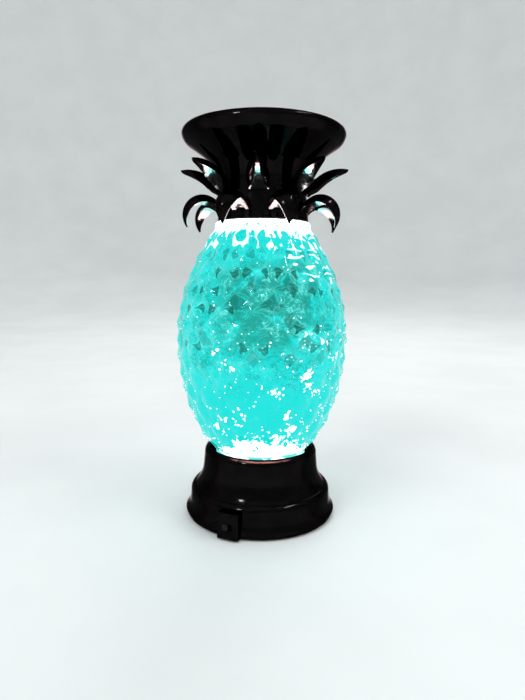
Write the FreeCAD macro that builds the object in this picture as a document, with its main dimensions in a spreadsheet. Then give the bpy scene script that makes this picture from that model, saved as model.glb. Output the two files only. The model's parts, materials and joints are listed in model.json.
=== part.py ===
import FreeCAD, Part
import math
import os
import Sketcher
from FreeCAD import Placement, Rotation, Vector

# Pineapple liquid motion lamp with a candle dish.
# A round battery base carries a clear pineapple vessel full of liquid and glitter.
# A motor under the vessel turns an impeller inside it through two pairs of magnets.
# Two tiers of leaves and a flared dish stand on the neck of the vessel.
# Millimetres. The origin is on the floor under the axis, +Z is up and the front is -Y.

document = FreeCAD.newDocument("pineapple_lamp")
sheet = document.addObject("Spreadsheet::Sheet", "Sizes")

# Driving sizes, in millimetres and degrees

SIZES = {
    # Feet
    "foot_radius": 4.5, "foot_height": 2.0, "foot_recess": 0.5, "foot_circle": 46.0,
    # Base housing, heights above its bottom edge
    "rim_foot_radius": 56.3, "rim_radius": 57.1, "rim_rise": 2.5, "waist_radius": 53.6,
    "waist_rise": 11.0, "band_hollow": 1.0, "shoulder_radius": 53.2, "shoulder_rise": 16.5,
    "shoulder_bulge": 1.1, "flare_radius": 49.4, "flare_rise": 21.3, "flare_hollow": 1.35,
    "neck_radius": 43.6, "neck_rise": 36.5, "lip_foot_radius": 42.8, "lip_foot_rise": 45.0,
    "lip_bulge": 1.0, "lip_radius": 39.5, "lip_rise": 51.0, "lip_bore_radius": 38.6,
    "lip_bevel": 0.7, "housing_wall": 2.2, "rim_wall": 2.7,
    # Shelf inside the neck
    "shelf_rise": 41.0, "shelf_thickness": 2.0, "shelf_hole_radius": 23.5, "diffuser_radius": 26.0,
    "diffuser_thickness": 1.0, "diffuser_hole_radius": 13.0, "seat_gap": 0.2,
    # Bottom plate and its screws
    "plate_thickness": 3.0, "plate_gap": 0.3, "bottom_screw_circle": 48.5, "boss_radius": 3.2,
    "boss_length": 13.0, "screw_radius": 1.25, "screw_head_radius": 2.5, "screw_head_height": 1.6,
    "screw_length": 10.0, "screw_gap": 0.25, "screw_end_gap": 0.8, "cross_width": 0.7,
    "cross_depth": 0.8,
    # Cells, bay and battery door
    "cell_radius": 7.25, "cell_length": 49.5, "nub_radius": 2.75, "nub_length": 1.0,
    "cell_pitch": 15.2, "cell_gap": 0.3, "bay_side_gap": 0.4, "bay_wall": 1.2, "ledge_width": 2.0,
    "ledge_thickness": 1.6, "pad_margin": 2.5, "door_thickness": 2.4, "door_gap": 0.3,
    "tab_length": 6.4, "tab_width": 12.0, "door_screw_offset": 0.4, "join_depth": 0.5,
    "hinge_pin_radius": 0.7, "hinge_pin_length": 2.0, "hinge_gap": 0.05, "grip_count": 5,
    "grip_width": 1.2, "grip_depth": 0.5, "grip_length": 16.0,
    # Battery contacts
    "contact_thickness": 0.4, "contact_width": 9.0, "contact_height": 11.0, "spring_reach": 5.3,
    "spring_height": 8.0, "contact_tab_width": 3.0, "contact_tab_rise": 3.0, "tab_slot_gap": 0.1,
    "tab_slot_side_gap": 0.2,
    # Switch pod, switch and knob
    "pod_angle": -21.5, "pod_face": 60.5, "pod_width": 16.0, "pod_rise": 18.5, "pod_wall": 1.7,
    "pod_round": 1.4, "pod_depth": 14.0, "switch_rise": 9.0, "switch_width": 7.0,
    "switch_depth": 5.0, "switch_height": 5.0, "ear_width": 12.2, "ear_thickness": 0.6,
    "ear_screw_pitch": 9.4, "ear_boss_radius": 1.4, "ear_boss_length": 1.6,
    "ear_screw_radius": 0.65, "ear_head_radius": 1.2, "ear_head_height": 0.8, "knob_width": 3.6,
    "knob_height": 4.0, "knob_proud": 1.0, "knob_travel": 2.5, "terminal_width": 1.4,
    "terminal_length": 2.0, "terminal_thickness": 0.5, "stem_width": 1.8, "stem_height": 1.8,
    "stem_depth": 1.6, "knob_gap": 0.3, "knob_rib": 0.4,
    # Light board
    "board_radius": 34.0, "board_hole_radius": 13.5, "board_thickness": 1.6, "board_drop": 4.7,
    "bracket_circle": 31.0, "bracket_boss_radius": 3.0, "bracket_screw_radius": 1.0,
    "bracket_head_radius": 2.0, "bracket_head_height": 1.4, "led_count": 6, "led_circle": 19.0,
    "led_radius": 2.5, "led_flange_radius": 2.9, "led_flange_height": 1.0, "led_height": 1.2,
    "led_angle": 15, "lens_share": 0.6, "chip_length": 5.0, "chip_width": 4.0, "chip_height": 1.4,
    "chip_circle": 25.0, "bracket_bore_floor": 0.6, "bracket_screw_gap": 0.2,
    # Motor and drive magnets
    "bracket_thickness": 1.2, "bracket_disc_radius": 13.0, "arm_width": 8.0, "motor_radius": 12.2,
    "motor_height": 12.4, "motor_floor": 1.0, "motor_cap_inset": 0.6, "motor_boss_radius": 3.1,
    "motor_boss_height": 1.6, "shaft_end_gap": 0.2, "motor_cap_height": 1.0, "shaft_radius": 1.0,
    "shaft_gap": 0.05, "motor_screw_circle": 8.0, "motor_screw_radius": 1.0,
    "motor_head_radius": 1.9, "motor_head_height": 1.0, "motor_screw_depth": 2.4,
    "carrier_radius": 11.0, "carrier_height": 4.9, "carrier_gap": 1.0, "carrier_floor": 0.5,
    "magnet_radius": 3.0, "magnet_height": 3.0, "magnet_circle": 6.5,
    # Bottom plug, pin, impeller and guard
    "plug_radius": 30.5, "plug_flange": 2.5, "plug_floor": 2.0, "spigot_radius": 25.8,
    "spigot_wall": 2.3, "spigot_height": 10.0, "pin_boss_radius": 2.5, "pin_boss_height": 0.5,
    "pin_radius": 1.0, "pin_bury": 1.0, "pin_over": 0.9, "seal_radius": 0.72, "seal_groove": 1.3,
    "seal_rise": 0.8, "seal_groove_width": 1.6, "vessel_screw_circle": 28.0,
    "vessel_screw_bury": 2.0, "impeller_gap": 0.3, "impeller_disc_radius": 11.0,
    "impeller_disc_height": 3.2, "impeller_hub_radius": 3.0, "impeller_height": 8.0,
    "blade_reach": 20.0, "blade_thickness": 1.6, "blade_count": 6, "blade_root": 0.4,
    "guard_thickness": 1.6, "guard_slot_count": 8, "guard_slot_width": 5.0, "guard_slot_inner": 7.0,
    "guard_rim": 3.0, "guard_slot_angle": 11,
    # Vessel
    "vessel_foot_radius": 34.3, "vessel_radius": 62.1, "vessel_top_radius": 33.6,
    "foot_ring_height": 3.0, "lower_height": 85.0, "upper_height": 77.5, "lower_reach_ratio": 1.182,
    "lower_power": 0.5, "upper_reach_ratio": 1.42, "upper_power": 0.8, "foot_ring_inset": 0.3,
    "fuse_depth": 1.0, "roof_slope": 0.5, "vessel_wall": 2.4, "relief_depth": 1.9,
    "relief_low_margin": 11.5, "relief_high_margin": 6.5, "boss_angle": -4.8,
    "shoulder_ring_height": 5.5, "shoulder_inset": 0.4, "fill_neck_radius": 27.5,
    "fill_neck_height": 11.0, "fill_neck_wall": 2.5, "opening_gap": 0.2, "gasket_width": 2.8,
    "stopper_flange": 1.5, "stopper_depth": 7.0, "stopper_gap": 0.1,
    # Liquid and glitter
    "liquid_gap": 0.1, "flake_size": 2.0, "flake_thickness": 0.3, "flake_low": 11.0,
    "flake_high": 22.0, "flake_margin": 4.0,
    # Leaf rings
    "neck_seal_thickness": 0.8, "neck_seal_width": 3.8, "neck_seal_inset": 0.6,
    "collar_bore_gap": 0.8, "collar_foot_inset": 0.2, "collar_top_radius": 31.6,
    "collar_height": 16.2, "collar_flange": 2.0, "collar_hole_radius": 14.0, "lower_leaf_arc": 13.8,
    "lower_leaf_sink": 1.0, "lower_leaf_drop": 13.7, "lower_leaf_width": 17.5,
    "lower_leaf_thickness": 2.0, "lower_leaf_crown": 3.2, "lower_leaf_angle": 17.5,
    "lower_leaf_start_angle": 166, "lower_leaf_end_angle": -37, "stem_radius": 31.0,
    "upper_ring_height": 10.0, "upper_flange": 3.0, "upper_hole_radius": 18.0,
    "upper_leaf_arc": 25.9, "upper_leaf_sink": 1.4, "upper_leaf_drop": 5.4,
    "upper_leaf_width": 15.5, "upper_leaf_thickness": 1.8, "upper_leaf_crown": 2.8,
    "upper_leaf_angle": -5.0, "upper_leaf_start_angle": 162, "upper_leaf_end_angle": 79,
    "crown_boss_gap": 0.4, "crown_screw_radius": 1.5, "crown_head_radius": 2.6,
    "crown_head_height": 1.8, "crown_screw_bury": 14.0, "crown_boss_radius": 3.2,
    "crown_boss_over": 1.0, "crown_screw_gap": 0.6, "web_inset": 0.3,
    # Candle dish, heights above the foot of its stem
    "dish_wall": 2.4, "cup_radius": 36.0, "cup_rise": 13.0, "cup_hollow": 1.2, "bowl_radius": 53.3,
    "bowl_rise": 26.0, "bowl_hollow": 0.4, "edge_radius": 58.2, "edge_rise": 32.5,
    "edge_bulge": 0.9, "rim_top_radius": 54.6, "rim_top_rise": 37.0, "rim_bulge": 1.2,
    "rim_bevel": 0.8, "recess_radius": 53.0, "tray_seat_rise": 27.5, "tray_seat_width": 2.5,
    "tray_thickness": 2.0, "tray_gap": 0.3, "tray_step": 1.0, "cup_inner_rise": 1.4,
}

DERIVED = [
    ("base_bottom", "foot_height - foot_recess"),
    ("rim_top", "base_bottom + rim_rise"),
    ("waist_top", "base_bottom + waist_rise"),
    ("shoulder_foot", "base_bottom + shoulder_rise"),
    ("flare_foot", "base_bottom + flare_rise"),
    ("neck_top", "base_bottom + neck_rise"),
    ("lip_foot", "base_bottom + lip_foot_rise"),
    ("lip_top", "base_bottom + lip_rise"),
    ("lip_bore_top", "lip_top - lip_bevel"),
    ("shelf_bottom", "base_bottom + shelf_rise"),
    ("shelf_top", "shelf_bottom + shelf_thickness"),
    ("diffuser_seat", "shelf_top - diffuser_thickness"),
    ("diffuser_seat_radius", "diffuser_radius + seat_gap"),
    ("plate_top", "base_bottom + plate_thickness"),
    ("plate_seat_radius", "rim_foot_radius - rim_wall"),
    ("plate_radius", "plate_seat_radius - plate_gap"),
    ("waist_inner", "waist_radius - housing_wall"),
    ("shoulder_inner", "shoulder_radius - housing_wall"),
    ("flare_inner", "flare_radius - housing_wall"),
    ("neck_inner", "neck_radius - housing_wall"),
    ("shelf_inner", "lip_foot_radius - housing_wall"),
    ("boss_top", "plate_top + boss_length"),
    ("door_top", "base_bottom + door_thickness"),
    ("pad_top", "door_top + ledge_thickness + cell_gap"),
    ("cell_bottom", "door_top + cell_gap"),
    ("cell_axis", "cell_bottom + cell_radius"),
    ("bay_roof", "cell_axis + cell_radius + cell_gap"),
    ("bay_top", "bay_roof + bay_wall"),
    ("bay_length", "cell_length + nub_length + 2 * contact_thickness + spring_reach"),
    ("bay_width", "2 * cell_pitch + 2 * cell_radius + 2 * bay_side_gap"),
    ("door_length", "bay_length + 2 * ledge_width"),
    ("door_front", "bay_width / 2 + ledge_width"),
    ("hinge_y", "door_front - door_thickness / 2"),
    ("hinge_z", "base_bottom + door_thickness / 2"),
    ("door_screw_y", "-(door_front + tab_length / 2 + door_screw_offset)"),
    ("board_top", "shelf_bottom - board_drop"),
    ("board_bottom", "board_top - board_thickness"),
    ("bracket_bottom", "board_bottom - bracket_thickness"),
    ("motor_bottom", "bracket_bottom - motor_height"),
    ("carrier_top", "shelf_top - carrier_gap"),
    ("carrier_bottom", "carrier_top - carrier_height"),
    ("plug_inside", "shelf_top + plug_floor"),
    ("vessel_bottom", "shelf_top + plug_flange"),
    ("spigot_top", "vessel_bottom + spigot_height"),
    ("spigot_inner", "spigot_radius - spigot_wall"),
    ("pin_boss_top", "plug_inside + pin_boss_height"),
    ("pin_foot", "plug_inside - pin_bury"),
    ("groove_low", "vessel_bottom + seal_rise"),
    ("groove_high", "groove_low + seal_groove_width"),
    ("groove_radius", "spigot_radius - seal_groove"),
    ("impeller_bottom", "pin_boss_top + impeller_gap"),
    ("impeller_top", "impeller_bottom + impeller_height"),
    ("opening_radius", "spigot_radius + opening_gap"),
    ("relief_foot", "vessel_bottom + foot_ring_height"),
    ("waist_level", "relief_foot + lower_height"),
    ("relief_head", "waist_level + upper_height"),
    ("neck_shoulder", "relief_head + shoulder_ring_height"),
    ("fill_neck_top", "neck_shoulder + fill_neck_height"),
    ("fill_neck_inner", "fill_neck_radius - fill_neck_wall"),
    ("guard_top", "spigot_top + guard_thickness"),
    ("stopper_bottom", "fill_neck_top - stopper_depth"),
    ("collar_bottom", "neck_shoulder + neck_seal_thickness"),
    ("collar_top", "collar_bottom + collar_height"),
    ("collar_ceiling", "collar_top - collar_flange"),
    ("collar_bore_radius", "fill_neck_radius + collar_bore_gap"),
    ("upper_flange_top", "collar_top + upper_flange"),
    ("dish_foot", "collar_top + upper_ring_height"),
    ("stem_inner", "stem_radius - dish_wall"),
    ("crown_screw_circle", "stem_inner - crown_boss_radius - crown_boss_gap"),
    ("cup_inner", "cup_radius - dish_wall"),
    ("cup_top", "dish_foot + cup_rise"),
    ("cup_inner_top", "cup_top + cup_inner_rise"),
    ("bowl_top", "dish_foot + bowl_rise"),
    ("edge_level", "dish_foot + edge_rise"),
    ("dish_top", "dish_foot + rim_top_rise"),
    ("recess_top", "dish_top - rim_bevel"),
    ("recess_lip", "recess_radius + rim_bevel / 2"),
    ("tray_seat", "dish_foot + tray_seat_rise"),
    ("tray_pocket_radius", "recess_radius - tray_step"),
    ("tray_seat_inner", "tray_pocket_radius - tray_seat_width"),
    ("tray_seat_foot", "tray_seat - dish_wall / 2"),
    ("tray_top", "tray_seat + tray_thickness"),
    ("switch_level", "base_bottom + switch_rise"),
    ("ear_front", "pod_face - pod_wall - ear_boss_length"),
    ("knob_depth", "pod_wall + knob_proud + ear_boss_length - knob_gap"),
    ("foot_ring_radius", "vessel_foot_radius - foot_ring_inset"),
    ("shoulder_ring_radius", "vessel_top_radius - shoulder_inset"),
    ("collar_foot_radius", "shoulder_ring_radius - collar_foot_inset"),
    ("neck_seal_radius", "collar_foot_radius - neck_seal_inset"),
    ("led_lens_foot", "board_top + led_flange_height + led_height"),
    ("shaft_bottom", "motor_bottom + motor_floor + shaft_end_gap"),
]


def fill_sheet():
    cells = [(alias, str(value)) for alias, value in SIZES.items()]
    cells += [(alias, "=" + formula) for alias, formula in DERIVED]
    for row, (alias, content) in enumerate(cells, 1):
        sheet.set("A%d" % row, alias)
        sheet.set("B%d" % row, content)
        sheet.setAlias("B%d" % row, alias)
    document.recompute()


def size(alias):
    return float(sheet.get(alias))


def named(expression):
    """Expression text in which each word that is an alias is read from the sheet."""
    words = []
    word = ""
    for letter in expression + " ":
        if letter.isalnum() or letter == "_":
            word += letter
            continue
        if word in ALIASES:
            word = "Sizes." + word
        words.append(word + letter)
        word = ""
    return "".join(words).strip()


ALIASES = set(SIZES) | {alias for alias, formula in DERIVED}


def bind(item, **expressions):
    for prop, expression in expressions.items():
        item.setExpression(prop, named(expression))


def place(item, x="0", y="0", z="0"):
    for letter, expression in (("x", x), ("y", y), ("z", z)):
        if expression != "0":
            item.setExpression("Placement.Base." + letter, named(expression))
    return item


def spin(item, angle):
    """Turns an item about the lamp's axis by an angle in degrees."""
    item.Placement = Placement(Vector(), Rotation(Vector(0, 0, 1), 1))
    item.setExpression("Placement.Rotation.Angle", named(angle))
    return item


def cylinder(label, radius, height, x="0", y="0", z="0", along="z"):
    item = document.addObject("Part::Cylinder", label)
    bind(item, Radius=radius, Height=height)
    if along == "x":
        item.Placement = Placement(Vector(), Rotation(Vector(0, 1, 0), 90))
    if along == "y":
        item.Placement = Placement(Vector(), Rotation(Vector(1, 0, 0), 90))
    return place(item, x, y, z)


def box(label, length, width, height, x="0", y="0", z="0"):
    """A box whose x and y give its middle, and z its bottom."""
    item = document.addObject("Part::Box", label)
    bind(item, Length=length, Width=width, Height=height)
    return place(item, "(%s) - (%s) / 2" % (x, length), "(%s) - (%s) / 2" % (y, width), z)


def fuse(label, items):
    item = document.addObject("Part::MultiFuse", label)
    item.Shapes = items
    return item


def group(label, items):
    item = document.addObject("Part::Compound", label)
    item.Links = items
    return item


def cut(label, base, tools):
    item = document.addObject("Part::Cut", label)
    item.Base = base
    item.Tool = tools[0] if len(tools) == 1 else group(label + "_tools", tools)
    return item


def solid(label, shape):
    item = document.addObject("Part::Feature", label)
    item.Shape = shape
    return item


def around(radius, angle):
    """Two expressions for a point on a circle about the lamp's axis, angle in degrees from +X."""
    return "%s * cos(%s)" % (radius, angle), "%s * sin(%s)" % (radius, angle)


def turned(label, outline, arcs=None):
    """A body turned about Z from an outline of (radius, height) aliases, counter-clockwise.

    arcs gives, for the stretch that follows a corner, the alias of its bulge and +1 outward or -1 inward."""
    arcs = arcs or {}
    body = document.addObject("PartDesign::Body", label)
    sketch = body.newObject("Sketcher::SketchObject", label + "_outline")
    plane = [feature for feature in body.Origin.OriginFeatures if feature.Role == "XZ_Plane"][0]
    sketch.AttachmentSupport = [(plane, "")]
    sketch.MapMode = "FlatFace"
    on_axis = {"axis": 0.0}
    corners = [Vector(on_axis.get(r, 0.0) if r == "axis" else size(r), size(z), 0) for r, z in outline]
    starts = []
    for index, corner in enumerate(corners):
        following = corners[(index + 1) % len(corners)]
        if index not in arcs:
            sketch.addGeometry(Part.LineSegment(corner, following), False)
            starts.append((1, 2))
            continue
        bulge, side = arcs[index]
        chord = following - corner
        outward = Vector(chord.y, -chord.x, 0).normalize() * side
        rise = size(bulge)
        radius = chord.Length ** 2 / (8 * rise) + rise / 2
        centre = (corner + following) * 0.5 - outward * (radius - rise)
        first, last = (corner, following) if side > 0 else (following, corner)
        angles = [math.atan2(point.y - centre.y, point.x - centre.x) for point in (first, last)]
        circle = Part.Circle(centre, Vector(0, 0, 1), radius)
        sketch.addGeometry(Part.ArcOfCircle(circle, angles[0], angles[1]), False)
        starts.append((1, 2) if side > 0 else (2, 1))
    total = len(corners)
    joins = [Sketcher.Constraint("Coincident", index, starts[index][1],
                                 (index + 1) % total, starts[(index + 1) % total][0])
             for index in range(total)]
    sketch.addConstraint(joins)
    for index, (radial, level) in enumerate(outline):
        if radial == "axis":
            sketch.addConstraint(Sketcher.Constraint("PointOnObject", index, starts[index][0], -2))
        else:
            number = sketch.addConstraint(
                Sketcher.Constraint("DistanceX", -1, 1, index, starts[index][0], corners[index].x))
            sketch.setExpression("Constraints[%d]" % number, named(radial))
        number = sketch.addConstraint(
            Sketcher.Constraint("DistanceY", -1, 1, index, starts[index][0], corners[index].y))
        sketch.setExpression("Constraints[%d]" % number, named(level))
    for index, (bulge, side) in arcs.items():
        (r_a, z_a), (r_b, z_b) = outline[index], outline[(index + 1) % total]
        arc = sketch.Geometry[index]
        number = sketch.addConstraint(Sketcher.Constraint("Radius", index, arc.Radius))
        chord_squared = "((%s - %s)^2 + (%s - %s)^2)" % (r_a, r_b, z_a, z_b)
        sketch.setExpression("Constraints[%d]" % number,
                             named("%s / (8 * %s) + %s / 2" % (chord_squared, bulge, bulge)))
    turn = body.newObject("PartDesign::Revolution", label + "_turn")
    turn.Profile = sketch
    turn.ReferenceAxis = (sketch, ["V_Axis"])
    turn.Angle = 360
    return body


def screw(label, x, y, z, radius, length, head_radius, head_height, upward=True):
    """A pan head screw with a cross recess. z is where the head meets what it clamps."""
    deep = "min(cross_depth; (%s) / 2)" % head_height
    head_z = "(%s) - (%s)" % (z, head_height) if upward else z
    shank_z = z if upward else "(%s) - (%s)" % (z, length)
    recess_z = head_z if upward else "(%s) + (%s) - %s" % (z, head_height, deep)
    head = cylinder(label + "_head", head_radius, head_height, x, y, head_z)
    shank = cylinder(label + "_shank", radius, length, x, y, shank_z)
    cross = [box(label + "_cross_x", "1.2 * (%s)" % head_radius, "cross_width", deep, x, y, recess_z),
             box(label + "_cross_y", "cross_width", "1.2 * (%s)" % head_radius, deep, x, y, recess_z)]
    return cut(label, fuse(label + "_blank", [head, shank]), cross)


fill_sheet()


# Base housing: a turned shell with a shelf in its neck, screw bosses and the switch pod

SCREW_ANGLES = [45 + 90 * index for index in range(4)]
FOOT_ANGLES = [90 * index for index in range(4)]
BRACKET_ANGLES = [90 + 120 * index for index in range(3)]
VESSEL_SCREW_ANGLES = [30 + 120 * index for index in range(3)]
CHIP_ANGLES = [30 + 120 * index for index in range(3)]


def pod_item(item):
    return spin(item, "pod_angle")


def base_housing():
    shell = turned("base_shell", [
        ("rim_foot_radius", "base_bottom"), ("rim_radius", "rim_top"), ("waist_radius", "waist_top"),
        ("shoulder_radius", "shoulder_foot"), ("flare_radius", "flare_foot"), ("neck_radius", "neck_top"),
        ("lip_foot_radius", "lip_foot"), ("lip_radius", "lip_top"), ("lip_bore_radius", "lip_bore_top"),
        ("lip_bore_radius", "shelf_top"), ("diffuser_seat_radius", "shelf_top"),
        ("diffuser_seat_radius", "diffuser_seat"), ("shelf_hole_radius", "diffuser_seat"),
        ("shelf_hole_radius", "shelf_bottom"), ("shelf_inner", "shelf_bottom"), ("neck_inner", "neck_top"),
        ("flare_inner", "flare_foot"), ("shoulder_inner", "shoulder_foot"), ("waist_inner", "waist_top"),
        ("waist_inner", "plate_top"), ("plate_seat_radius", "plate_top"),
        ("plate_seat_radius", "base_bottom"),
    ], {1: ("band_hollow", -1), 3: ("shoulder_bulge", 1), 4: ("flare_hollow", -1), 6: ("lip_bulge", 1),
        15: ("flare_hollow", 1)})
    bosses = []
    holes = []
    for index, angle in enumerate(SCREW_ANGLES):
        x, y = around("bottom_screw_circle", angle)
        bosses.append(cylinder("screw_boss_%d" % index, "boss_radius", "boss_length", x, y, "plate_top"))
        holes.append(cylinder("screw_bore_%d" % index, "screw_radius",
                              "screw_length - plate_thickness + screw_head_height + screw_end_gap",
                              x, y, "plate_top"))
    for index, angle in enumerate(BRACKET_ANGLES):
        x, y = around("bracket_circle", angle)
        bosses.append(cylinder("bracket_boss_%d" % index, "bracket_boss_radius", "board_drop",
                               x, y, "board_top"))
        holes.append(cylinder("bracket_bore_%d" % index, "bracket_screw_radius",
                              "board_drop - bracket_bore_floor", x, y, "board_top"))
    for index, angle in enumerate(VESSEL_SCREW_ANGLES):
        x, y = around("vessel_screw_circle", angle)
        holes.append(cylinder("shelf_bore_%d" % index, "screw_radius + screw_gap", "shelf_thickness",
                              x, y, "shelf_bottom"))
    block = box("pod_block", "pod_width", "pod_depth", "pod_rise", "0", "-(pod_face - pod_depth / 2)",
                "base_bottom")
    document.recompute()
    rounded = document.addObject("Part::Fillet", "pod_rounded")
    rounded.Base = block
    face_y = -size("pod_face")
    top_z = size("base_bottom") + size("pod_rise")
    edges = []
    for number, edge in enumerate(block.Shape.Edges, 1):
        middle = edge.CenterOfMass
        on_face = abs(middle.y - face_y) < 0.01
        on_top = abs(middle.z - top_z) < 0.01
        on_bottom = abs(middle.z - size("base_bottom")) < 0.01
        if (on_face and not on_bottom) or (on_top and abs(middle.x) > 0.01):
            edges.append((number, size("pod_round"), size("pod_round")))
    rounded.Edges = edges
    hollow = box("pod_hollow", "pod_width - 2 * pod_wall", "pod_depth",
                 "pod_rise - plate_thickness - pod_wall", "0", "-(pod_face - pod_wall - pod_depth / 2)",
                 "plate_top")
    window = box("knob_window", "knob_width + knob_travel + 2 * knob_gap", "3 * pod_wall",
                 "knob_height + 2 * knob_gap", "0", "-pod_face",
                 "switch_level - knob_height / 2 - knob_gap")
    ear_bosses = []
    ear_holes = []
    for index, side in enumerate((-1, 1)):
        x = "%d * ear_screw_pitch / 2" % side
        ear_bosses.append(cylinder("ear_boss_%d" % index, "ear_boss_radius", "ear_boss_length", x,
                                   "-ear_front", "switch_level", "y"))
        ear_holes.append(cylinder("ear_bore_%d" % index, "ear_screw_radius", "ear_boss_length", x,
                                  "-ear_front", "switch_level", "y"))
    with_pod = fuse("shell_with_pod", [shell, pod_item(group("pod_outside", [rounded]))])
    hollowed = cut("shell_hollowed", with_pod, [pod_item(group("pod_inside", [hollow, window]))])
    joined = fuse("shell_joined", [hollowed, pod_item(group("pod_bosses", ear_bosses))] + bosses)
    seat = cylinder("plate_seat", "plate_seat_radius", "plate_thickness", z="base_bottom")
    return cut("base_housing", joined, holes + [seat, pod_item(group("pod_bores", ear_holes))])


# Bottom plate with the cell bay, and the battery door hinged in it

def door_outline(label, growth, height, z):
    """The door's plan: a rectangle and the screw tab, grown all round for the recess."""
    plate = box(label + "_plate", "door_length + 2 * (%s)" % growth,
                "door_front + hinge_y + (%s)" % growth, height,
                "0", "(hinge_y - door_front - (%s)) / 2" % growth, z)
    tab = box(label + "_tab", "tab_width + 2 * (%s)" % growth, "tab_length + ledge_width", height,
              "0", "-(door_front + (%s)) - (tab_length - ledge_width) / 2" % growth, z)
    return [plate, tab]


def bottom_plate():
    disc = cylinder("plate_disc", "plate_radius", "plate_thickness", z="base_bottom")
    pad = [box("plate_pad", "door_length + 2 * pad_margin", "2 * door_front + 2 * pad_margin",
               "pad_top - plate_top + join_depth", z="plate_top - join_depth"),
           box("plate_tab_pad", "tab_width + 2 * pad_margin", "tab_length + 2 * pad_margin",
               "pad_top - plate_top + join_depth", "0", "-(door_front + tab_length / 2)",
               "plate_top - join_depth")]
    bay = box("bay_outside", "bay_length + 2 * bay_wall", "bay_width + 2 * bay_wall", "bay_top - plate_top",
              z="plate_top")
    tower = cylinder("door_screw_tower", "boss_radius", "screw_length - door_thickness + screw_end_gap",
                     y="door_screw_y", z="door_top")
    blank = fuse("plate_blank", [disc, bay, tower] + pad)
    tools = [box("bay_inside", "bay_length", "bay_width", "bay_roof", z="0")]
    tools += door_outline("door_recess", "door_gap", "door_thickness", "base_bottom")
    tools.append(cylinder("hinge_trough", "door_thickness / 2 + door_gap", "door_length + 2 * door_gap",
                          "-(door_length / 2 + door_gap)", "hinge_y", "hinge_z", "x"))
    tools.append(box("hinge_trough_mouth", "door_length + 2 * door_gap", "door_thickness / 2 + door_gap",
                     "door_thickness / 2", "0", "hinge_y + (door_thickness / 2 + door_gap) / 2",
                     "base_bottom"))
    tools.append(cylinder("hinge_bore", "hinge_pin_radius + hinge_gap",
                          "door_length + 2 * hinge_pin_length + 2 * door_gap",
                          "-(door_length / 2 + hinge_pin_length + door_gap)", "hinge_y", "hinge_z", "x"))
    tools.append(cylinder("door_screw_bore", "screw_radius", "screw_length - door_thickness",
                          y="door_screw_y", z="door_top"))
    for side in (-1, 1):
        tools.append(box("tab_slot_%d" % side, "contact_thickness + 2 * tab_slot_gap",
                         "contact_tab_width + 2 * tab_slot_side_gap",
                         "2 * bay_wall", "%d * (bay_length / 2 - contact_thickness / 2)" % side,
                         "%d * cell_pitch" % side, "bay_roof - bay_wall / 2"))
    for index, angle in enumerate(SCREW_ANGLES):
        x, y = around("bottom_screw_circle", angle)
        tools.append(cylinder("plate_bore_%d" % index, "screw_radius + screw_gap", "plate_thickness",
                              x, y, "base_bottom"))
        tools.append(cylinder("plate_counterbore_%d" % index, "screw_head_radius + screw_gap",
                              "screw_head_height + screw_gap", x, y, "base_bottom"))
    for index, angle in enumerate(FOOT_ANGLES):
        x, y = around("foot_circle", angle)
        tools.append(cylinder("foot_seat_%d" % index, "foot_radius", "foot_recess", x, y, "base_bottom"))
    return cut("bottom_plate", blank, tools)


def battery_door():
    barrel = cylinder("door_barrel", "door_thickness / 2", "door_length", "-door_length / 2", "hinge_y",
                      "hinge_z", "x")
    pins = cylinder("door_pins", "hinge_pin_radius", "door_length + 2 * hinge_pin_length",
                    "-(door_length / 2 + hinge_pin_length)", "hinge_y", "hinge_z", "x")
    blank = fuse("door_blank", door_outline("door", "0", "door_thickness", "base_bottom") + [barrel, pins])
    tools = [cylinder("door_screw_hole", "screw_radius + screw_gap / 2", "door_thickness",
                      y="door_screw_y", z="base_bottom"),
             cylinder("door_screw_recess", "screw_head_radius + screw_gap", "door_thickness / 2",
                      y="door_screw_y", z="base_bottom")]
    for index in range(int(size("grip_count"))):
        tools.append(box("door_grip_%d" % index, "grip_length", "grip_width", "grip_depth", "0",
                         "-(door_front - %d * 2 * grip_width - 2 * grip_width)" % index, "base_bottom"))
    return cut("battery_door", blank, tools)


# Cells and their contacts

CELL_ROWS = (-1, 0, 1)


def battery(number, row):
    """One cell lying along X. The outer two have their nubs at +X and the middle one at -X."""
    side = 1 if row else -1
    face = "(bay_length / 2 - contact_thickness - nub_length)"
    start = face + " - cell_length" if side > 0 else "-" + face
    nub_start = face if side > 0 else "-%s - nub_length" % face
    can = cylinder("cell_can_%d" % number, "cell_radius", "cell_length", start, "%d * cell_pitch" % row,
                   "cell_axis", "x")
    nub = cylinder("cell_nub_%d" % number, "nub_radius", "nub_length", nub_start, "%d * cell_pitch" % row,
                   "cell_axis", "x")
    return fuse("battery_%d" % number, [can, nub])


def leaf_spring(label, side, row):
    """A bowed strip between the bay's end wall and the flat end of a cell."""
    thickness = size("contact_thickness")
    wall = size("bay_length") / 2 - thickness
    reach = size("spring_reach")
    half = size("spring_height") / 2
    level = size("cell_axis")

    def arc(inset):
        points = [Vector(-side * (wall + thickness / 4), 0, level - half + inset),
                  Vector(-side * (wall - reach + inset), 0, level),
                  Vector(-side * (wall + thickness / 4), 0, level + half - inset)]
        return points, Part.Arc(*points).toShape()

    outer_points, outer = arc(0.0)
    inner_points, inner = arc(thickness)
    edges = [outer, Part.LineSegment(outer_points[2], inner_points[2]).toShape(), inner,
             Part.LineSegment(inner_points[0], outer_points[0]).toShape()]
    face = Part.Face(Part.Wire(Part.__sortEdges__(edges)))
    width = size("contact_width") * 0.8
    strip = face.extrude(Vector(0, width, 0))
    strip.translate(Vector(0, row * size("cell_pitch") - width / 2, 0))
    return solid(label, strip)


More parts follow.
